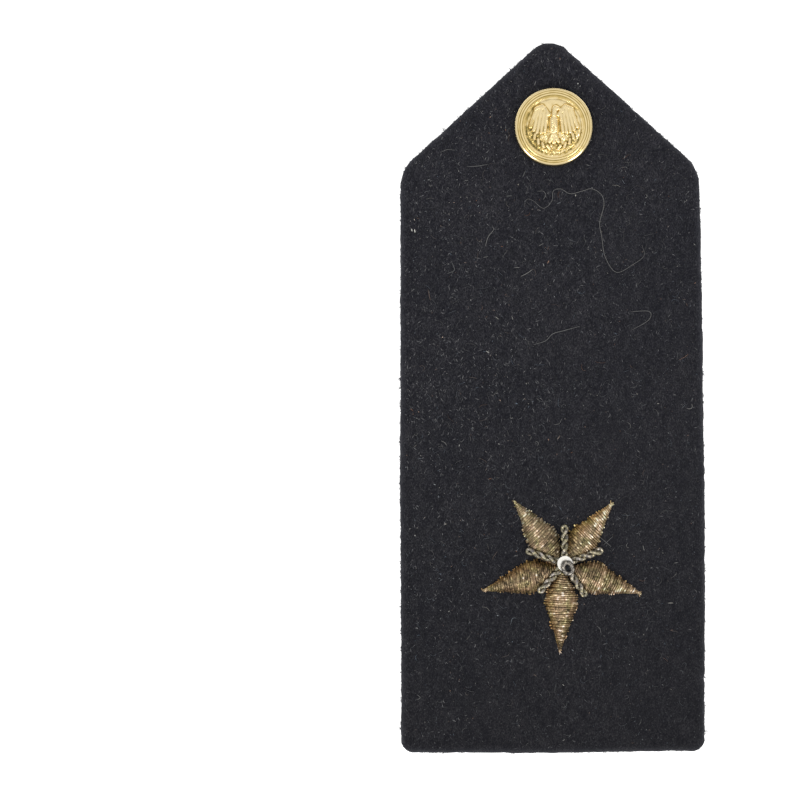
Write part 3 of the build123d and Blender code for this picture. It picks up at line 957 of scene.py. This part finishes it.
def ribbons(x, y, heading, length, width, lift, bend):
    """Points and quads of flat fibres: each rises off the cloth in its middle and bends to one side."""
    along = np.stack([np.cos(heading), np.sin(heading)], -1)
    across = np.stack([-along[:, 1], along[:, 0]], -1)
    rows = []
    for share, thick in ((-0.5, 0.35), (0.0, 1.0), (0.5, 0.25)):
        arch = 1 - 4 * share**2
        middle = np.stack([x, y], -1) + along * (length * share)[:, None] + across * (bend * arch)[:, None]
        z = cloth_top(*middle.T) + FIBRE_LIFT + lift * arch
        for sign in (-1, 1):
            rows.append(np.column_stack([middle + across * (sign * thick * width / 2)[:, None], z]))
    faces = np.arange(len(x))[:, None, None] * 6 + np.array([[0, 1, 3, 2], [2, 3, 5, 4]])
    return np.stack(rows, 1).reshape(-1, 3), faces.reshape(-1, 4)


def fibres_on_face(name, material, x, y, heading, length, width, lift, tint, palest, hue=None):
    """A mesh of flat fibres, the paler the more dust and painted light there is at their place. Their hue
    varies where one is given.
    """
    count = len(x)
    bend = random.normal(0, 0.06, count) * MM
    points, faces = ribbons(x, y, heading, length, width, lift, bend)
    marks = {"tint": np.repeat(np.clip(random.gamma(1.1, tint, count) * dust_and_light(x, y), 0, palest), 6)}
    if hue is not None:
        marks["hue"] = np.repeat(np.clip(random.normal(hue, 0.2, count), 0, 1), 6)
    new_piece(name, points, faces, material, marks)


def wool_nap():
    """The nap on the face: short fibres that lie mostly along the board, a few of them pale."""
    x, y = scatter(NAP_FIBRES, inset=0.6 * MM)
    count = len(x)
    heading = NAP_HEADING + random.normal(0, 0.8, count)
    length = random.uniform(*NAP_LENGTHS, count) * MM
    width = random.uniform(*NAP_WIDTHS, count) * MM
    lift = random.uniform(*NAP_LIFTS, count) * MM
    fibres_on_face("wool_nap", NAP, x, y, heading, length, width, lift, tint=0.16, palest=0.8)


def wool_flecks():
    """Pale flecks of dust and broken fibre, caught in the nap."""
    x, y = scatter(FLECKS, inset=0.8 * MM)
    count = len(x)
    heading = random.uniform(0, math.pi, count)
    length = random.gamma(1.2, 0.11, count) * MM + 0.08 * MM
    width = random.uniform(*FLECK_WIDTHS, count) * MM
    lift = random.uniform(*FLECK_LIFTS, count) * MM
    fibres_on_face("wool_flecks", FLECK, x, y, heading, length, width, lift, tint=0.15, palest=1, hue=0.42)


def stray_fibres():
    """Short curled fibres that lie loose on the nap, most of them faint."""
    strays = Bundle()
    hues = []
    x, y = scatter(STRAYS, inset=2.5 * MM)
    for at_x, at_y, dust in zip(x, y, dust_and_light(x, y)):
        # More strays where dust and painted light are higher
        if random.random() > dust / 1.3:
            continue
        heading = random.uniform(0, TURN)
        curl = random.normal(0, 0.32)
        step = random.uniform(*STRAY_BENDS) * MM
        points = [np.array([at_x, at_y])]
        for _ in range(5):
            heading += curl + random.normal(0, 0.25)
            points.append(points[-1] + step * np.array([math.cos(heading), math.sin(heading)]))
        flat = through(points, STRAY_STEP)
        path = np.column_stack([flat, cloth_top(*flat.T) + STRAY_LIFT])
        radius = random.uniform(*STRAY_RADII) * MM * taper(len(flat), 0.3, 0.5)
        tube_into(strays, path, radius, 3, np.clip(0.10 + random.gamma(1.6, 0.085), 0, 0.8))
        hues += [np.clip(random.normal(0.38, 0.2), 0, 1)] * (strays.count - len(hues))
    strays.piece("stray_fibres", FLECK, "wool_cloth", hue=hues)


def edge_fuzz():
    """Small tufts of fibres that stand out round the edge of the board."""
    fuzz = Bundle()
    for pick, share in zip(random.integers(0, len(outline), EDGE_TUFTS), random.random(EDGE_TUFTS)):
        out, on = outward[pick], ahead[pick]
        root_xy = outline[pick] + (outline[(pick + 1) % len(outline)] - outline[pick]) * share
        root = np.array([*(root_xy - out * 0.09 * MM), random.uniform(SIDE_FROM, SIDE_TO)])
        tuft_length = random.gamma(2.0, 0.12) * MM
        lean = random.normal(0, 0.55)
        tint = random.uniform(0.05, 0.40)
        for _ in range(random.integers(3, 8)):
            way = out + on * (lean + random.normal(0, 0.5))
            length = tuft_length * random.uniform(0.5, 1.1)
            foot = root + np.array([*(on * random.normal(0, 0.07) * MM), random.normal(0, 0.07) * MM])
            tip = foot + np.array([*(unit(way) * length), random.normal(0, 0.3) * length])
            middle = (foot + tip) / 2 + random.normal(0, 0.15, 3) * length
            tube_into(fuzz, np.array([foot, middle, tip]), TUFT_RADII, 3, tint)
    fuzz.piece("edge_fuzz", NAP, "wool_cloth")


def loose_lint():
    """The hairs and threads that lie on the cloth."""
    lint = Bundle()
    hues = []
    for tint, radius, hue, *points in LINT:
        flat = through(np.array(points) * MM, LINT_STEP)
        path = np.column_stack([flat, cloth_top(*flat.T) + LINT_LIFT])
        tube_into(lint, path, radius * MM * taper(len(flat), 0.12, 0.4), 5, tint)
        hues += [hue] * (lint.count - len(hues))
    lint.piece("loose_lint", FLECK, "wool_cloth", hue=hues)


# Strap


def strap_outline():
    """The tongue's outline round the post: a half circle above, and two round corners at its far end."""
    low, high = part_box("strap")
    half = (high.x - low.x) / 2
    corner_x = half - STRAP_CORNER
    corner_y = STRAP_CORNER - (BUTTON_Y - low.y)
    arcs = (
        (0.0, 0.0, half, 0, 180, 60),
        (-corner_x, corner_y, STRAP_CORNER, 180, 270, 12),
        (corner_x, corner_y, STRAP_CORNER, 270, 360, 12),
    )
    points = []
    for x, y, radius, start, end, steps in arcs:
        turn = np.radians(np.linspace(start, end, steps))
        points += [*np.stack([x + radius * np.cos(turn), y + radius * np.sin(turn)], -1)]
    return resampled(points, STRAP_STEP, closed=True)


def leather_strap():
    """The leather tongue, with worn round edges and the recess where the post's head seats."""
    flat = strap_outline()
    out = outline_ways(flat)[1]
    towards = unit(flat)
    wear = Ripples(6 * MM)
    rings = []

    def ring(points, height):
        rings.append(np.column_stack([points, np.broadcast_to(height, len(points))]))

    inner = towards * (RECESS_RADIUS + STRAP_EASE)
    edge = flat - out * STRAP_BEVEL
    for share in (0.0, 0.02, 0.15, 0.4, 0.7):
        ring(inner + (edge - inner) * share, 0.0)
    for inset, rise in rounding(STRAP_BEVEL, 5):
        ring(flat - out * inset, rise)
    for share in (0.35, 0.7):
        side = STRAP_BEVEL + (STRAP_THICKNESS - STRAP_EASE - STRAP_BEVEL) * share
        ring(flat - out * (SIDE_WEAR * (1 + wear(*flat.T)))[:, None], side)
    for below, inset in rounding(STRAP_EASE, 4):
        ring(flat - out * inset, STRAP_THICKNESS - below)
    for radius, height in (
        (STRAP_HOLE, STRAP_THICKNESS),
        (STRAP_HOLE, RECESS_DEPTH),
        (RECESS_RADIUS, RECESS_DEPTH),
        (RECESS_RADIUS, STRAP_EASE),
        (RECESS_RADIUS + 0.3 * STRAP_EASE, 0.3 * STRAP_EASE),
    ):
        ring(towards * radius, height)
    points = np.vstack(rings) + np.array([BUTTON_X, BUTTON_Y, 0])
    faces = strip_faces(len(rings), len(flat), close_rows=True).tolist()
    new_piece("leather_tongue", points, faces, LEATHER, replaces=("strap",))


# Button


def field_height(distance):
    """The domed field's height over the board at a distance from the button's axis."""
    edge = BUTTON_Z + BUTTON_RIM_HEIGHT * RING_HEIGHTS[-1]
    sphere = (FIELD_R**2 + BUTTON_DOME**2) / (2 * BUTTON_DOME)
    return edge + BUTTON_DOME - sphere + np.sqrt(sphere**2 - np.minimum(distance, FIELD_R) ** 2)


def leaf_bar(share):
    """A leaf of the right spray, at a share of the way from the first to the last."""
    from_bottom = LEAF_FIRST + (LEAF_LAST - LEAF_FIRST) * share
    centre = math.radians(270 + from_bottom)
    points = math.radians(from_bottom + LEAF_LEAN)
    x, y = LEAF_CIRCLE * math.cos(centre), LEAF_CIRCLE * math.sin(centre)
    dx, dy = LEAF_LENGTH / 2 * math.cos(points), LEAF_LENGTH / 2 * math.sin(points)
    return table(BAR, ("vein", x - dx, y - dy, x + dx, y + dy, LEAF_WIDTH, LEAF_HEIGHT))[0]


def gauss(value, width):
    """A bump of height 1 where a value is 0, about a width to each side."""
    return np.exp(-((value / width) ** 2))


def bar_relief(bar, side, x, y):
    """Height of one rounded bar over the field, with its skin. On side -1 it is mirrored."""
    start = np.array([side * bar["x0"], bar["y0"]]) * FIELD_R
    end = np.array([side * bar["x1"], bar["y1"]]) * FIELD_R
    run = end - start
    share = np.clip(((x - start[0]) * run[0] + (y - start[1]) * run[1]) / (run @ run), 0, 1)
    off_x, off_y = x - start[0] - share * run[0], y - start[1] - share * run[1]
    away = np.hypot(off_x, off_y)
    radius = bar["width"] * FIELD_R / 2
    height = RELIEF_HEIGHT * bar["height"] - radius + np.sqrt(np.maximum(radius**2 - away**2, 0))
    height = np.where(away < radius, height, -radius)
    along = share * np.hypot(*run)
    aside = (off_x * -run[1] + off_y * run[0]) / np.hypot(*run)
    if bar["skin"] == "barbs":
        barbs = np.sin((along - BARB_SLANT * np.abs(aside)) * TURN / BARB_PITCH)
        return height + BARB_HEIGHT * barbs - QUILL_DEPTH * gauss(aside, QUILL_WIDTH)
    if bar["skin"] == "vein":
        return height - VEIN_DEPTH * gauss(aside, VEIN_WIDTH)
    if bar["skin"] == "scales":
        scales = np.sin(x * TURN / SCALE_WIDTH) * np.sin(y * TURN / SCALE_LENGTH)
        return height + SCALE_HEIGHT * scales
    if bar["skin"] == "coverts":
        return height + COVERT_HEIGHT * np.sin(x * TURN / COVERT_WIDTH + y * TURN / COVERT_LENGTH)
    return height


def eased_highest(heights, ease):
    """The highest of several heights at each place, with the valleys between them eased."""
    stack = np.stack(heights) / ease
    top = stack.max(0)
    return ease * (top + np.log(np.exp(stack - top).sum(0)))


def button_figure(x, y):
    """Height of the raised bird and its two sprays over the field."""
    leaves = [leaf_bar(number / (LEAVES_A_SIDE - 1)) for number in range(LEAVES_A_SIDE)]
    heights = [bar_relief(bar, 1, x, y) for bar in FIGURE]
    heights += [bar_relief(bar, side, x, y) for side in (1, -1) for bar in (*WING, *leaves)]
    heights.append(np.zeros_like(x))
    height = eased_highest(heights, RELIEF_EASE) - RELIEF_EASE * math.log(2)
    return height + EYE_HEIGHT * gauss(np.hypot(x - EYE_X * FIELD_R, y - EYE_Y * FIELD_R), EYE_WIDTH)


def ring_groove(distance, groove):
    """How far into one fine turned groove a place is, from 0 to 1."""
    return gauss(distance / BUTTON_R - groove, RING_GROOVE_WIDTH)


def ring_height(distance):
    """Height of the stepped rings, with fine turned grooves between the main ones."""
    height = np.interp(distance / BUTTON_R, RING_RADII[:0:-1], RING_HEIGHTS[:0:-1])
    height = BUTTON_Z + BUTTON_RIM_HEIGHT * height
    for groove in RING_GROOVES:
        height = height - RING_GROOVE_DEPTH * ring_groove(distance, groove)
    return height


def face_height(x, y, far, figure, flat_field):
    """Height of the button's face: the field with its figure, stipple and dents, and the rings round it."""
    grain = Ripples(STIPPLE_SIZE, 30)
    dents = Ripples(DENT_SIZE, 20)
    edge_groove = EDGE_GROOVE_DEPTH * gauss(far - EDGE_GROOVE * FIELD_R, EDGE_GROOVE_WIDTH)
    lower = np.clip((0.1 * FIELD_R - y) / (0.3 * FIELD_R), 0, 1)
    stipple = STIPPLE_HEIGHT * grain(x, y) * (0.35 + lower)
    field = field_height(far) + figure - edge_groove + stipple * flat_field
    height = np.where(far < FIELD_R * 1.0001, field, ring_height(far))
    return height + np.where(far < 0.97 * FIELD_R, DENT_DEPTH, 0.0) * dents(x, y)


def face_dirt_and_shade(x, y, z, far, flat_field):
    """How dark dirt and painted shade make each place of the face, from 0 to 1."""
    smooth = z.copy()
    for _ in range(26):
        smooth = (smooth + np.roll(smooth, 1, 1) + np.roll(smooth, -1, 1)) / 3
        smooth[1:-1] = (smooth[1:-1] + smooth[:-2] + smooth[2:]) / 3
    # In the hollows, dirt with painted shade, lighter on the upper half; low on the field and at its left edge
    grimy = Ripples(DIRT_PATCH, 20)(x, y)
    in_field = far < FIELD_R
    sides = np.clip(np.abs(x) / FIELD_R * np.where(x > 0, 1.0, 1.6), 0.25, 1)
    lower = np.clip(-1.7 * y / FIELD_R - 0.15, 0, 1) * sides * in_field
    left_edge = np.clip((-x / FIELD_R - 0.60) / 0.25, 0, 1) * in_field
    dirt_and_shade = np.clip((smooth - z) / HOLLOW_DEPTH, 0, 1) * np.where(y > 0, 0.62, 1.0)
    dirt_and_shade = dirt_and_shade + lower * (0.17 + 0.32 * flat_field) + 0.34 * left_edge + 0.08 * grimy * in_field
    # Painted shade on the rings: the inner one darker towards the top, the outer one towards the lower left;
    # dirt and painted shade in their grooves; and painted shade where the face turns under at its edge
    at = far / BUTTON_R
    shaded = np.clip((-0.6 * x - y) / BUTTON_R, 0, 1)
    inner_ring = (0.32 + 0.03 * grimy + 0.20 * y / BUTTON_R) * gauss(at - 0.765, 0.028)
    outer_ring = (0.14 + 0.15 * shaded + 0.05 * grimy) * np.clip(1 - np.abs(at - 0.88) / 0.07, 0, 1)
    dirt_and_shade = np.clip(np.clip(dirt_and_shade, 0, 1) + (inner_ring + outer_ring), 0, 1)
    for groove in RING_GROOVES:
        dirt_and_shade = np.clip(dirt_and_shade + 0.60 * ring_groove(far, groove), 0, 1)
    # Painted shade where the face turns under at its edge, most on its lower side
    under_edge = 0.5 + 0.3 * np.clip(-np.sin(BUTTON_TURNS), 0, 1)
    dirt_and_shade[-6:] = np.clip(dirt_and_shade[-6:] + np.linspace(0, 1, 6)[:, None] * under_edge, 0, 1)
    return dirt_and_shade


def button_face():
    """The domed gilt face with its rings and figure, and the shell's inside under it."""
    field_steps = np.linspace(0.0, FIELD_R, FIELD_STEPS)[1:]
    distances = np.concatenate([field_steps, np.linspace(FIELD_R, BUTTON_R, RIM_STEPS)[1:]])
    x = distances[:, None] * np.cos(BUTTON_TURNS)
    y = distances[:, None] * np.sin(BUTTON_TURNS)
    far = np.hypot(x, y)
    figure = button_figure(x, y)
    flat_field = np.clip(1 - figure / FIGURE_FOOT, 0, 1)
    z = face_height(x, y, far, figure, flat_field)
    dirt_and_shade = face_dirt_and_shade(x, y, z, far, flat_field)
    rim = BUTTON_R * RING_RADII[0]
    inside = rim - BUTTON_WALL
    inner_top = field_height(FIELD_R) - BUTTON_WALL
    under = [(rim, BUTTON_Z), (inside, BUTTON_Z), (inside, inner_top), (FIELD_R, inner_top)]
    under += [(radius, field_height(radius) - BUTTON_WALL) for radius in FIELD_R * INNER_RINGS]
    below = np.concatenate([circle(radius, height, BUTTON_TURNS) for radius, height in under])
    centre = field_height(0.0)
    middles = [[0, 0, centre + button_figure(np.zeros(1), np.zeros(1))[0]], [0, 0, centre - BUTTON_WALL]]
    points = np.vstack([np.stack([x, y, z], -1).reshape(-1, 3), below, middles])
    around = len(BUTTON_TURNS)
    rows = len(distances) + len(under)
    faces = strip_faces(rows, around).tolist()
    top_middle, last = rows * around, (rows - 1) * around
    for turn in range(around):
        after = (turn + 1) % around
        faces.append([top_middle, after, turn])
        faces.append([top_middle + 1, last + turn, last + after])
    marks = {"dirt_and_shade_mark": np.concatenate([dirt_and_shade.ravel(), np.full(len(below), 0.7), [0.1, 0.7]])}
    faces = [face[::-1] for face in faces]
    points = points + np.array([BUTTON_X, BUTTON_Y, 0])
    new_piece("button_gilt_face", points, faces, GILT, marks, ("button_face",))


# Star


def arm_profile(at):
    """Half width and height of an arm at a share of its length."""
    half = np.interp(at, ARM_PLACES, ARM_WIDTHS) * ARM_WIDTH / 2
    return half, np.interp(at, ARM_PLACES, ARM_HEIGHTS) * ARM_HEIGHT


def turned(points, angle):
    """Points in the plane turned by an angle."""
    x, y = points[..., 0], points[..., 1]
    cosine, sine = math.cos(angle), math.sin(angle)
    return np.stack([x * cosine - y * sine, x * sine + y * cosine], -1)


def clear_of_cords(flat, angle):
    """Which points of an arm, in its own directions, lie outside the cords' channels."""
    world = turned(flat, angle) - np.array([CORDS_RIGHT, CORDS_UP])
    clear = np.ones(len(flat), bool)
    for cord in CORDS:
        local = turned(world, -math.radians(cord["angle"]))
        beside = (local[:, 0] > 0) & (local[:, 0] < CORD_LENGTH * cord["length"])
        clear &= ~(beside & (np.abs(local[:, 1]) < CHANNEL_HALF))
    return clear


def facing(points, angle, length):
    """Where a place is across an arm: from 1 at the edge that faces the upper left to -1 at the other."""
    edge = points[:, 1] / np.maximum(arm_profile(points[:, 0] / length)[0], FLANK_LEAST)
    across = np.array([-math.sin(angle), math.cos(angle)])
    return np.clip(edge * (across @ np.array([-1.0, 1.0])) * math.sqrt(0.5), -1, 1)


def arm_thread(at, length, skew, angle, ends):
    """The path of one thread across an arm, on its padded surface, or None where cords leave no room."""
    half, high = arm_profile(at)
    half = max(half, LEAST_HALF)
    left, right = -half - max(ends[0], LEAST_REACH - half), half + max(ends[1], LEAST_REACH - half)
    y = np.linspace(left, right, max(int((right - left) / THREAD_STEP), 8))
    x = at * length + skew * y + THREAD_SWAY * np.sin(y / half * random.uniform(0.5, 2.5))
    clear = clear_of_cords(np.stack([x, y], -1), angle)
    if not clear.any():
        return None
    runs = np.flatnonzero(np.diff(np.concatenate([[0], clear.astype(int), [0]]))).reshape(-1, 2)
    first, last = max(runs, key=lambda run: run[1] - run[0])
    if last - first < 6:
        return None
    x, y = x[first:last], y[first:last]
    arch = high * np.maximum(1 - (y / half) ** 2, 0) ** 0.85
    first_roll = THREAD_ROLL if first == 0 else CHANNEL_ROLL
    last_roll = THREAD_ROLL if last == len(clear) else CHANNEL_ROLL
    from_end = np.minimum((y - y[0]) / first_roll, (y[-1] - y) / last_roll)
    fall = np.sqrt(np.maximum(1 - (1 - np.clip(from_end, 0, 1)) ** 2, 0))
    z = np.maximum(arch * fall - THREAD_RADIUS, 0) + random.normal(0, 0.035) * MM
    return np.stack([x, y, np.maximum(z, 0)], -1)


def thread_tints(count, level, shine):
    """Tints along one thread: an uneven tarnish, ends painted paler against the shade where it turns down, and
    here and there a painted glint.
    """
    tints = level + 0.065 * np.convolve(random.normal(0, 1, count + 8), np.ones(9) / 3, "valid")
    tints = tints + 0.085 * np.convolve(random.normal(0, 1, count + 2), np.ones(3) / 1.7, "valid")
    # Painted light: the ends, which turn down into shade, painted paler
    tints = tints + 0.18 * (1 - taper(count, 0, 0.5))
    # Painted glints: short, bright stretches along the thread
    glints = (random.random(count) < GLINT_SHARE * shine) * random.uniform(0.08, 0.44, count)
    stretch = np.hanning(10)[1:-1]
    glints = np.convolve(glints, stretch)[len(stretch) // 2 :][:count]
    return np.clip(tints + glints, 0, 1.1)


def threads_into(bundle, arm, angle, length):
    """Adds an arm's threads, from the star's middle to the tip, each a little unlike the one before it."""
    at = ARM_PLACES[0]
    ends = np.zeros(2)
    drift = 0.0
    while at < 1.0:
        tip_share = np.clip((1.0 - at) / 0.25, 0.25, 1)
        ends = 0.3 * ends + random.normal(0.0, 1.0, 2) * RAGGED * tip_share
        drift = 0.30 * drift + random.normal(0, 0.042)
        path = arm_thread(at, length, arm["skew"] + random.normal(0, 0.05), angle, ends)
        if path is not None:
            level = arm["shade"] + drift + arm["tip"] * (at - 0.4)
            level = level + arm["end"] * np.clip((at - 0.84) / 0.1, 0, 1)
            # More painted glints on the flank that faces the lower right
            shine = arm["glints"] * (1 - 0.8 * facing(path, angle, length))
            tints = thread_tints(len(path), level, shine)
            thick = THREAD_RADIUS * random.uniform(0.85, 1.1) * (0.6 + 0.4 * tip_share)
            ridges = (THREAD_WRAP * random.uniform(0.85, 1.2), 0.12)
            radius = thick * (0.6 + 0.4 * taper(len(path), 0, 0.4))
            tube_into(bundle, path, radius, 7, tints, ridges=ridges, groove=0.07)
        at += THREAD_PITCH / length * random.choice(THREAD_STEPS) * (0.7 + 0.3 * tip_share)


def tip_loop(length):
    """The tiny loop of thread at an arm's tip."""
    around = angles_round(20)
    x = length + TIP_LOOP_AHEAD + TIP_LOOP_HALF_LENGTH * np.cos(around)
    return np.stack([x, TIP_LOOP_HALF_WIDTH * np.sin(around), np.full(len(around), TIP_LOOP_HEIGHT)], -1)


def tip_strand(length):
    """A short loose strand that frays from an arm's tip."""
    lean = random.normal(0, 0.6)
    reach = random.uniform(*TIP_STRAND_REACHES) * MM
    behind = random.uniform(*TIP_STRAND_ROOTS) * MM
    start = np.array([length - behind, random.normal(0, 0.12) * MM, TIP_STRAND_HEIGHT])
    share = np.linspace(0, 1, 6)[:, None]
    way = np.array([math.cos(lean), math.sin(lean), 0.0])
    curl = random.normal(0, 0.3) * reach * np.array([-way[1], way[0], 0.0])
    return start + way * reach * share + curl * share**2


def core_into(bundle, arm, angle, length):
    """Adds the padded core under an arm's threads, flat where a cord lies in it."""
    rows = []
    for at in np.linspace(ARM_PLACES[0], CORE_END, CORE_ROWS):
        half, high = arm_profile(at)
        y = np.linspace(-half, half, 17) * 0.9
        x = at * length + arm["skew"] * y
        z = np.maximum(high * np.maximum(1 - (y / half) ** 2, 0) - 1.8 * THREAD_RADIUS, 0)
        z = np.where(clear_of_cords(np.stack([x, y], -1), angle), z, 0)
        rows.append(np.stack([x, y, z], -1))
    core = np.stack(rows)
    base = core[:, ::-1].copy()
    base[..., 2] = -CORE_SINK
    shell = np.concatenate([core, base], 1)
    bundle.add(shell.reshape(-1, 3), strip_faces(len(rows), shell.shape[1]), 0.36)


def star_arm(number, arm):
    """One arm: a padded core, wound with threads side by side, and frayed at its tip."""
    bundle = Bundle()
    angle = math.radians(arm["angle"])
    length = STAR_RADIUS * arm["length"]
    threads_into(bundle, arm, angle, length)
    tube_into(bundle, tip_loop(length), TIP_LOOP_THREAD_RADIUS, 6, 0.5, closed=True)
    for _ in range(TIP_STRANDS):
        tube_into(bundle, tip_strand(length), TIP_STRAND_RADIUS, 5, random.uniform(0.30, 0.95))
    core_into(bundle, arm, angle, length)
    points = np.concatenate(bundle.points)
    flank = facing(points, angle, length)
    flat = turned(points[:, :2], angle) + np.array([STAR_X, STAR_Y])
    bundle.points = [np.column_stack([flat, points[:, 2] + STAR_Z])]
    name = f"star_arm_threads_{number}"
    bundle.piece(name, THREAD, "star_thread", (f"star_arm_{number}",), flank=flank)


def star_cord(number, cord):
    """One cord: a strand of coiled wire that runs out, turns back in a small loop and twists on itself."""
    loop_middle = CORD_LENGTH * cord["length"] - LOOP_WIDTH / 2
    end = loop_middle - LOOP_OVERLAP
    share = np.linspace(0, 1, 160)
    turn = TURN * CORD_TURNS * share
    x = CORD_START + (end - CORD_START) * share
    out = np.stack([x, PLY_SPREAD / 2 * np.sin(turn), -PLY_SPREAD / 2 * np.cos(turn)], -1)
    back = out * np.array([1, -1, -1])
    around = np.linspace(-LOOP_SWEEP, LOOP_SWEEP, 40)
    loop = circle((LOOP_WIDTH - LOOP_WIRE) / 2, 0.0, around) + np.array([loop_middle, 0, 0])
    path = softened(resampled(np.vstack([out, loop, back[::-1]]), CORD_STEP), 6)
    near_loop = np.clip((path[:, 0] - end + LOOP_BLEND / 2) / LOOP_BLEND, 0, 1)
    radius = PLY_DIAMETER / 2 + (LOOP_WIRE - PLY_DIAMETER) / 2 * near_loop
    path[:, 2] += CORD_WIDTH / 2
    flat = turned(path[:, :2], math.radians(cord["angle"]))
    path[:, :2] = flat + np.array([STAR_X + CORDS_RIGHT, STAR_Y + CORDS_UP])
    path[:, 2] += STAR_Z
    bundle = Bundle()
    worn = np.convolve(random.normal(0, 1, len(path) + 14), np.ones(15) / 4, "valid")
    tint = 0.83 + 0.08 * worn
    tube_into(bundle, path, radius, CORD_SIDES, tint, ridges=(COIL_PITCH, COIL_DEPTH), groove=0.40)
    silver = np.repeat(np.clip(0.32 + 0.35 * np.roll(worn, 40), 0, 1), CORD_SIDES)
    name = f"star_twisted_cord_{number}"
    bundle.piece(name, COIL, "coiled_wire", (f"star_cord_{number}",), silver=silver)


def star_knot():
    """The oval loop of coiled wire over the spangle."""
    low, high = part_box("star_knot")
    wire = KNOT_WIRE / 2 + KNOT_SWELL
    bend = KNOT_WIDTH / 2 - wire
    straight = KNOT_LENGTH / 2 - wire - bend
    half_turn = np.linspace(0, math.pi, 40)
    upper = np.stack([bend * np.cos(half_turn), straight + bend * np.sin(half_turn)], -1)
    flat = resampled(np.vstack([upper, -upper]), KNOT_STEP, closed=True)
    whole_turns = round(TURN * bend / (1.7 * COIL_PITCH))
    pitch = np.linalg.norm(np.roll(flat, -1, axis=0) - flat, axis=1).sum() / max(whole_turns, 1)
    height = np.full(len(flat), (low.z + high.z) / 2 + KNOT_LIFT)
    path = np.column_stack([turned(flat, KNOT_TURN) + KNOT_CENTRE, height])
    bundle = Bundle()
    tube_into(bundle, path, wire, 18, 0.50, closed=True, ridges=(pitch, KNOT_COIL_DEPTH), groove=0.26)
    bundle.piece("star_centre_knot", COIL, "coiled_wire", ("star_knot",), silver=np.full(bundle.count, 0.85))


def star_spangle():
    """The pierced disc, slightly cupped, with a rounded edge, and grime with painted shadow round the knot."""
    low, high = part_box("star_spangle")
    radius = (high.x - low.x) / 2
    hole = SPANGLE_HOLE / 2
    thick = high.z - low.z
    # Each ring's radius, and its height as a share of the thickness
    profile = (
        (hole, 0.15), (hole, 0.60), (hole + 0.08 * MM, 0.78), (0.62 * radius, 0.72), (0.88 * radius, 0.92),
        (0.96 * radius, 1.0), (radius, 0.8), (radius, 0.3), (0.96 * radius, 0.1), (0.6 * radius, 0.0),
    )
    turns = angles_round(96)
    rings = [circle(at, low.z + thick * share, turns) for at, share in profile]
    points = np.concatenate(rings) + np.array([(low.x + high.x) / 2, (low.y + high.y) / 2, 0])
    faces = strip_faces(len(profile), len(turns), close_rows=True).tolist()
    from_knot = np.hypot(*(points[:, :2] - KNOT_CENTRE).T)
    # Grime and painted shadow under the knot, darkest at its middle
    marks = {"grime_and_shade": np.clip(1.3 - from_knot / SPANGLE_GRIME_AND_SHADE_REACH, 0, 1)}
    new_piece("star_bright_disc", points, faces, SPANGLE, marks, ("star_spangle",))


def sewing_thread():
    """The dark thread that holds the knot down: two short stitches across its middle, whose dark colour also
    stands in for the shade inside the knot.
    """
    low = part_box("star_knot")[0]
    along = np.linspace(-1, 1, 24)
    z = low.z + STITCH_HEIGHT + STITCH_ARCH * (1 - along**2)
    stitch = Bundle()
    for aside in (-STITCH_ASIDE, STITCH_ASIDE):
        flat = np.stack([np.full(len(along), aside), along * (KNOT_LENGTH / 2 - KNOT_WIRE)], -1)
        path = np.column_stack([turned(flat, KNOT_TURN) + KNOT_CENTRE, z])
        tube_into(stitch, path, STITCH_RADIUS, 8, 0.10, ridges=(STITCH_PLY, 0.15))
    stitch.piece("star_knot_stitch", NAP, "coiled_wire")


# Assembly

board_cloth()
wool_nap()
wool_flecks()
stray_fibres()
edge_fuzz()
loose_lint()
button_face()
for number, arm in enumerate(ARMS, start=1):
    star_arm(number, arm)
for number, cord in enumerate(CORDS, start=1):
    star_cord(number, cord)
star_knot()
star_spangle()
sewing_thread()
leather_strap()
POST_BRASS = plain_brass_material()
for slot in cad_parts["button_post"].material_slots:
    slot.material = POST_BRASS


# Stage, light and camera


def white_floor():
    """A wide floor that the board lies on."""
    reach = 3.0
    drop = 0.01 * MM
    mesh = bpy.data.meshes.new("floor")
    corners = [(x * reach, y * reach, -drop) for x, y in ((-1, -1), (1, -1), (1, 1), (-1, 1))]
    mesh.from_pydata(corners, [], [(0, 1, 2, 3)])
    mesh.materials.append(floor_material())
    floor = bpy.data.objects.new("floor", mesh)
    bpy.context.scene.collection.objects.link(floor)


def soft_sky():
    """An even white sky, brightest overhead."""
    world = bpy.data.worlds.new("soft_sky")
    bpy.context.scene.world = world
    sky = Shader(world, "Background")
    overhead = sky.coordinate("Z", "Generated")
    strength = sky.levels(overhead, 0.05, 0.95, to_low=0.52, to_high=0.95)
    sky.finish({"Color": (1.0, 0.995, 0.985), "Strength": strength})


def soft_light(name, place_mm, size_mm, power):
    """A square area light that points at the middle of the board."""
    data = bpy.data.lights.new(name, "AREA")
    data.energy = power
    data.size = size_mm * MM
    light = bpy.data.objects.new(name, data)
    light.location = Vector(place_mm) * MM
    aim = Vector((0, 0, BOARD_TOP)) - light.location
    light.rotation_euler = aim.to_track_quat("-Z", "Y").to_euler()
    bpy.context.scene.collection.objects.link(light)


white_floor()
soft_sky()
for name, side in (("light_lower_left", -1), ("light_lower_right", 1)):
    soft_light(name, (side * 430, -420, 520), size_mm=240, power=1.3)

camera_data = bpy.data.cameras.new("camera")
camera_data.sensor_width = SENSOR
camera_data.lens = SENSOR * CAMERA_HEIGHT / VIEW_WIDTH
camera_data.clip_start = 0.01
camera_data.clip_end = 20
camera = bpy.data.objects.new("camera", camera_data)
camera.location = (CAMERA_X, CAMERA_Y, BOARD_TOP + CAMERA_HEIGHT)
camera.rotation_euler = (0, 0, CAMERA_ROLL)
bpy.context.scene.collection.objects.link(camera)
bpy.context.scene.camera = camera
bpy.context.scene.view_settings.view_transform = "Standard"
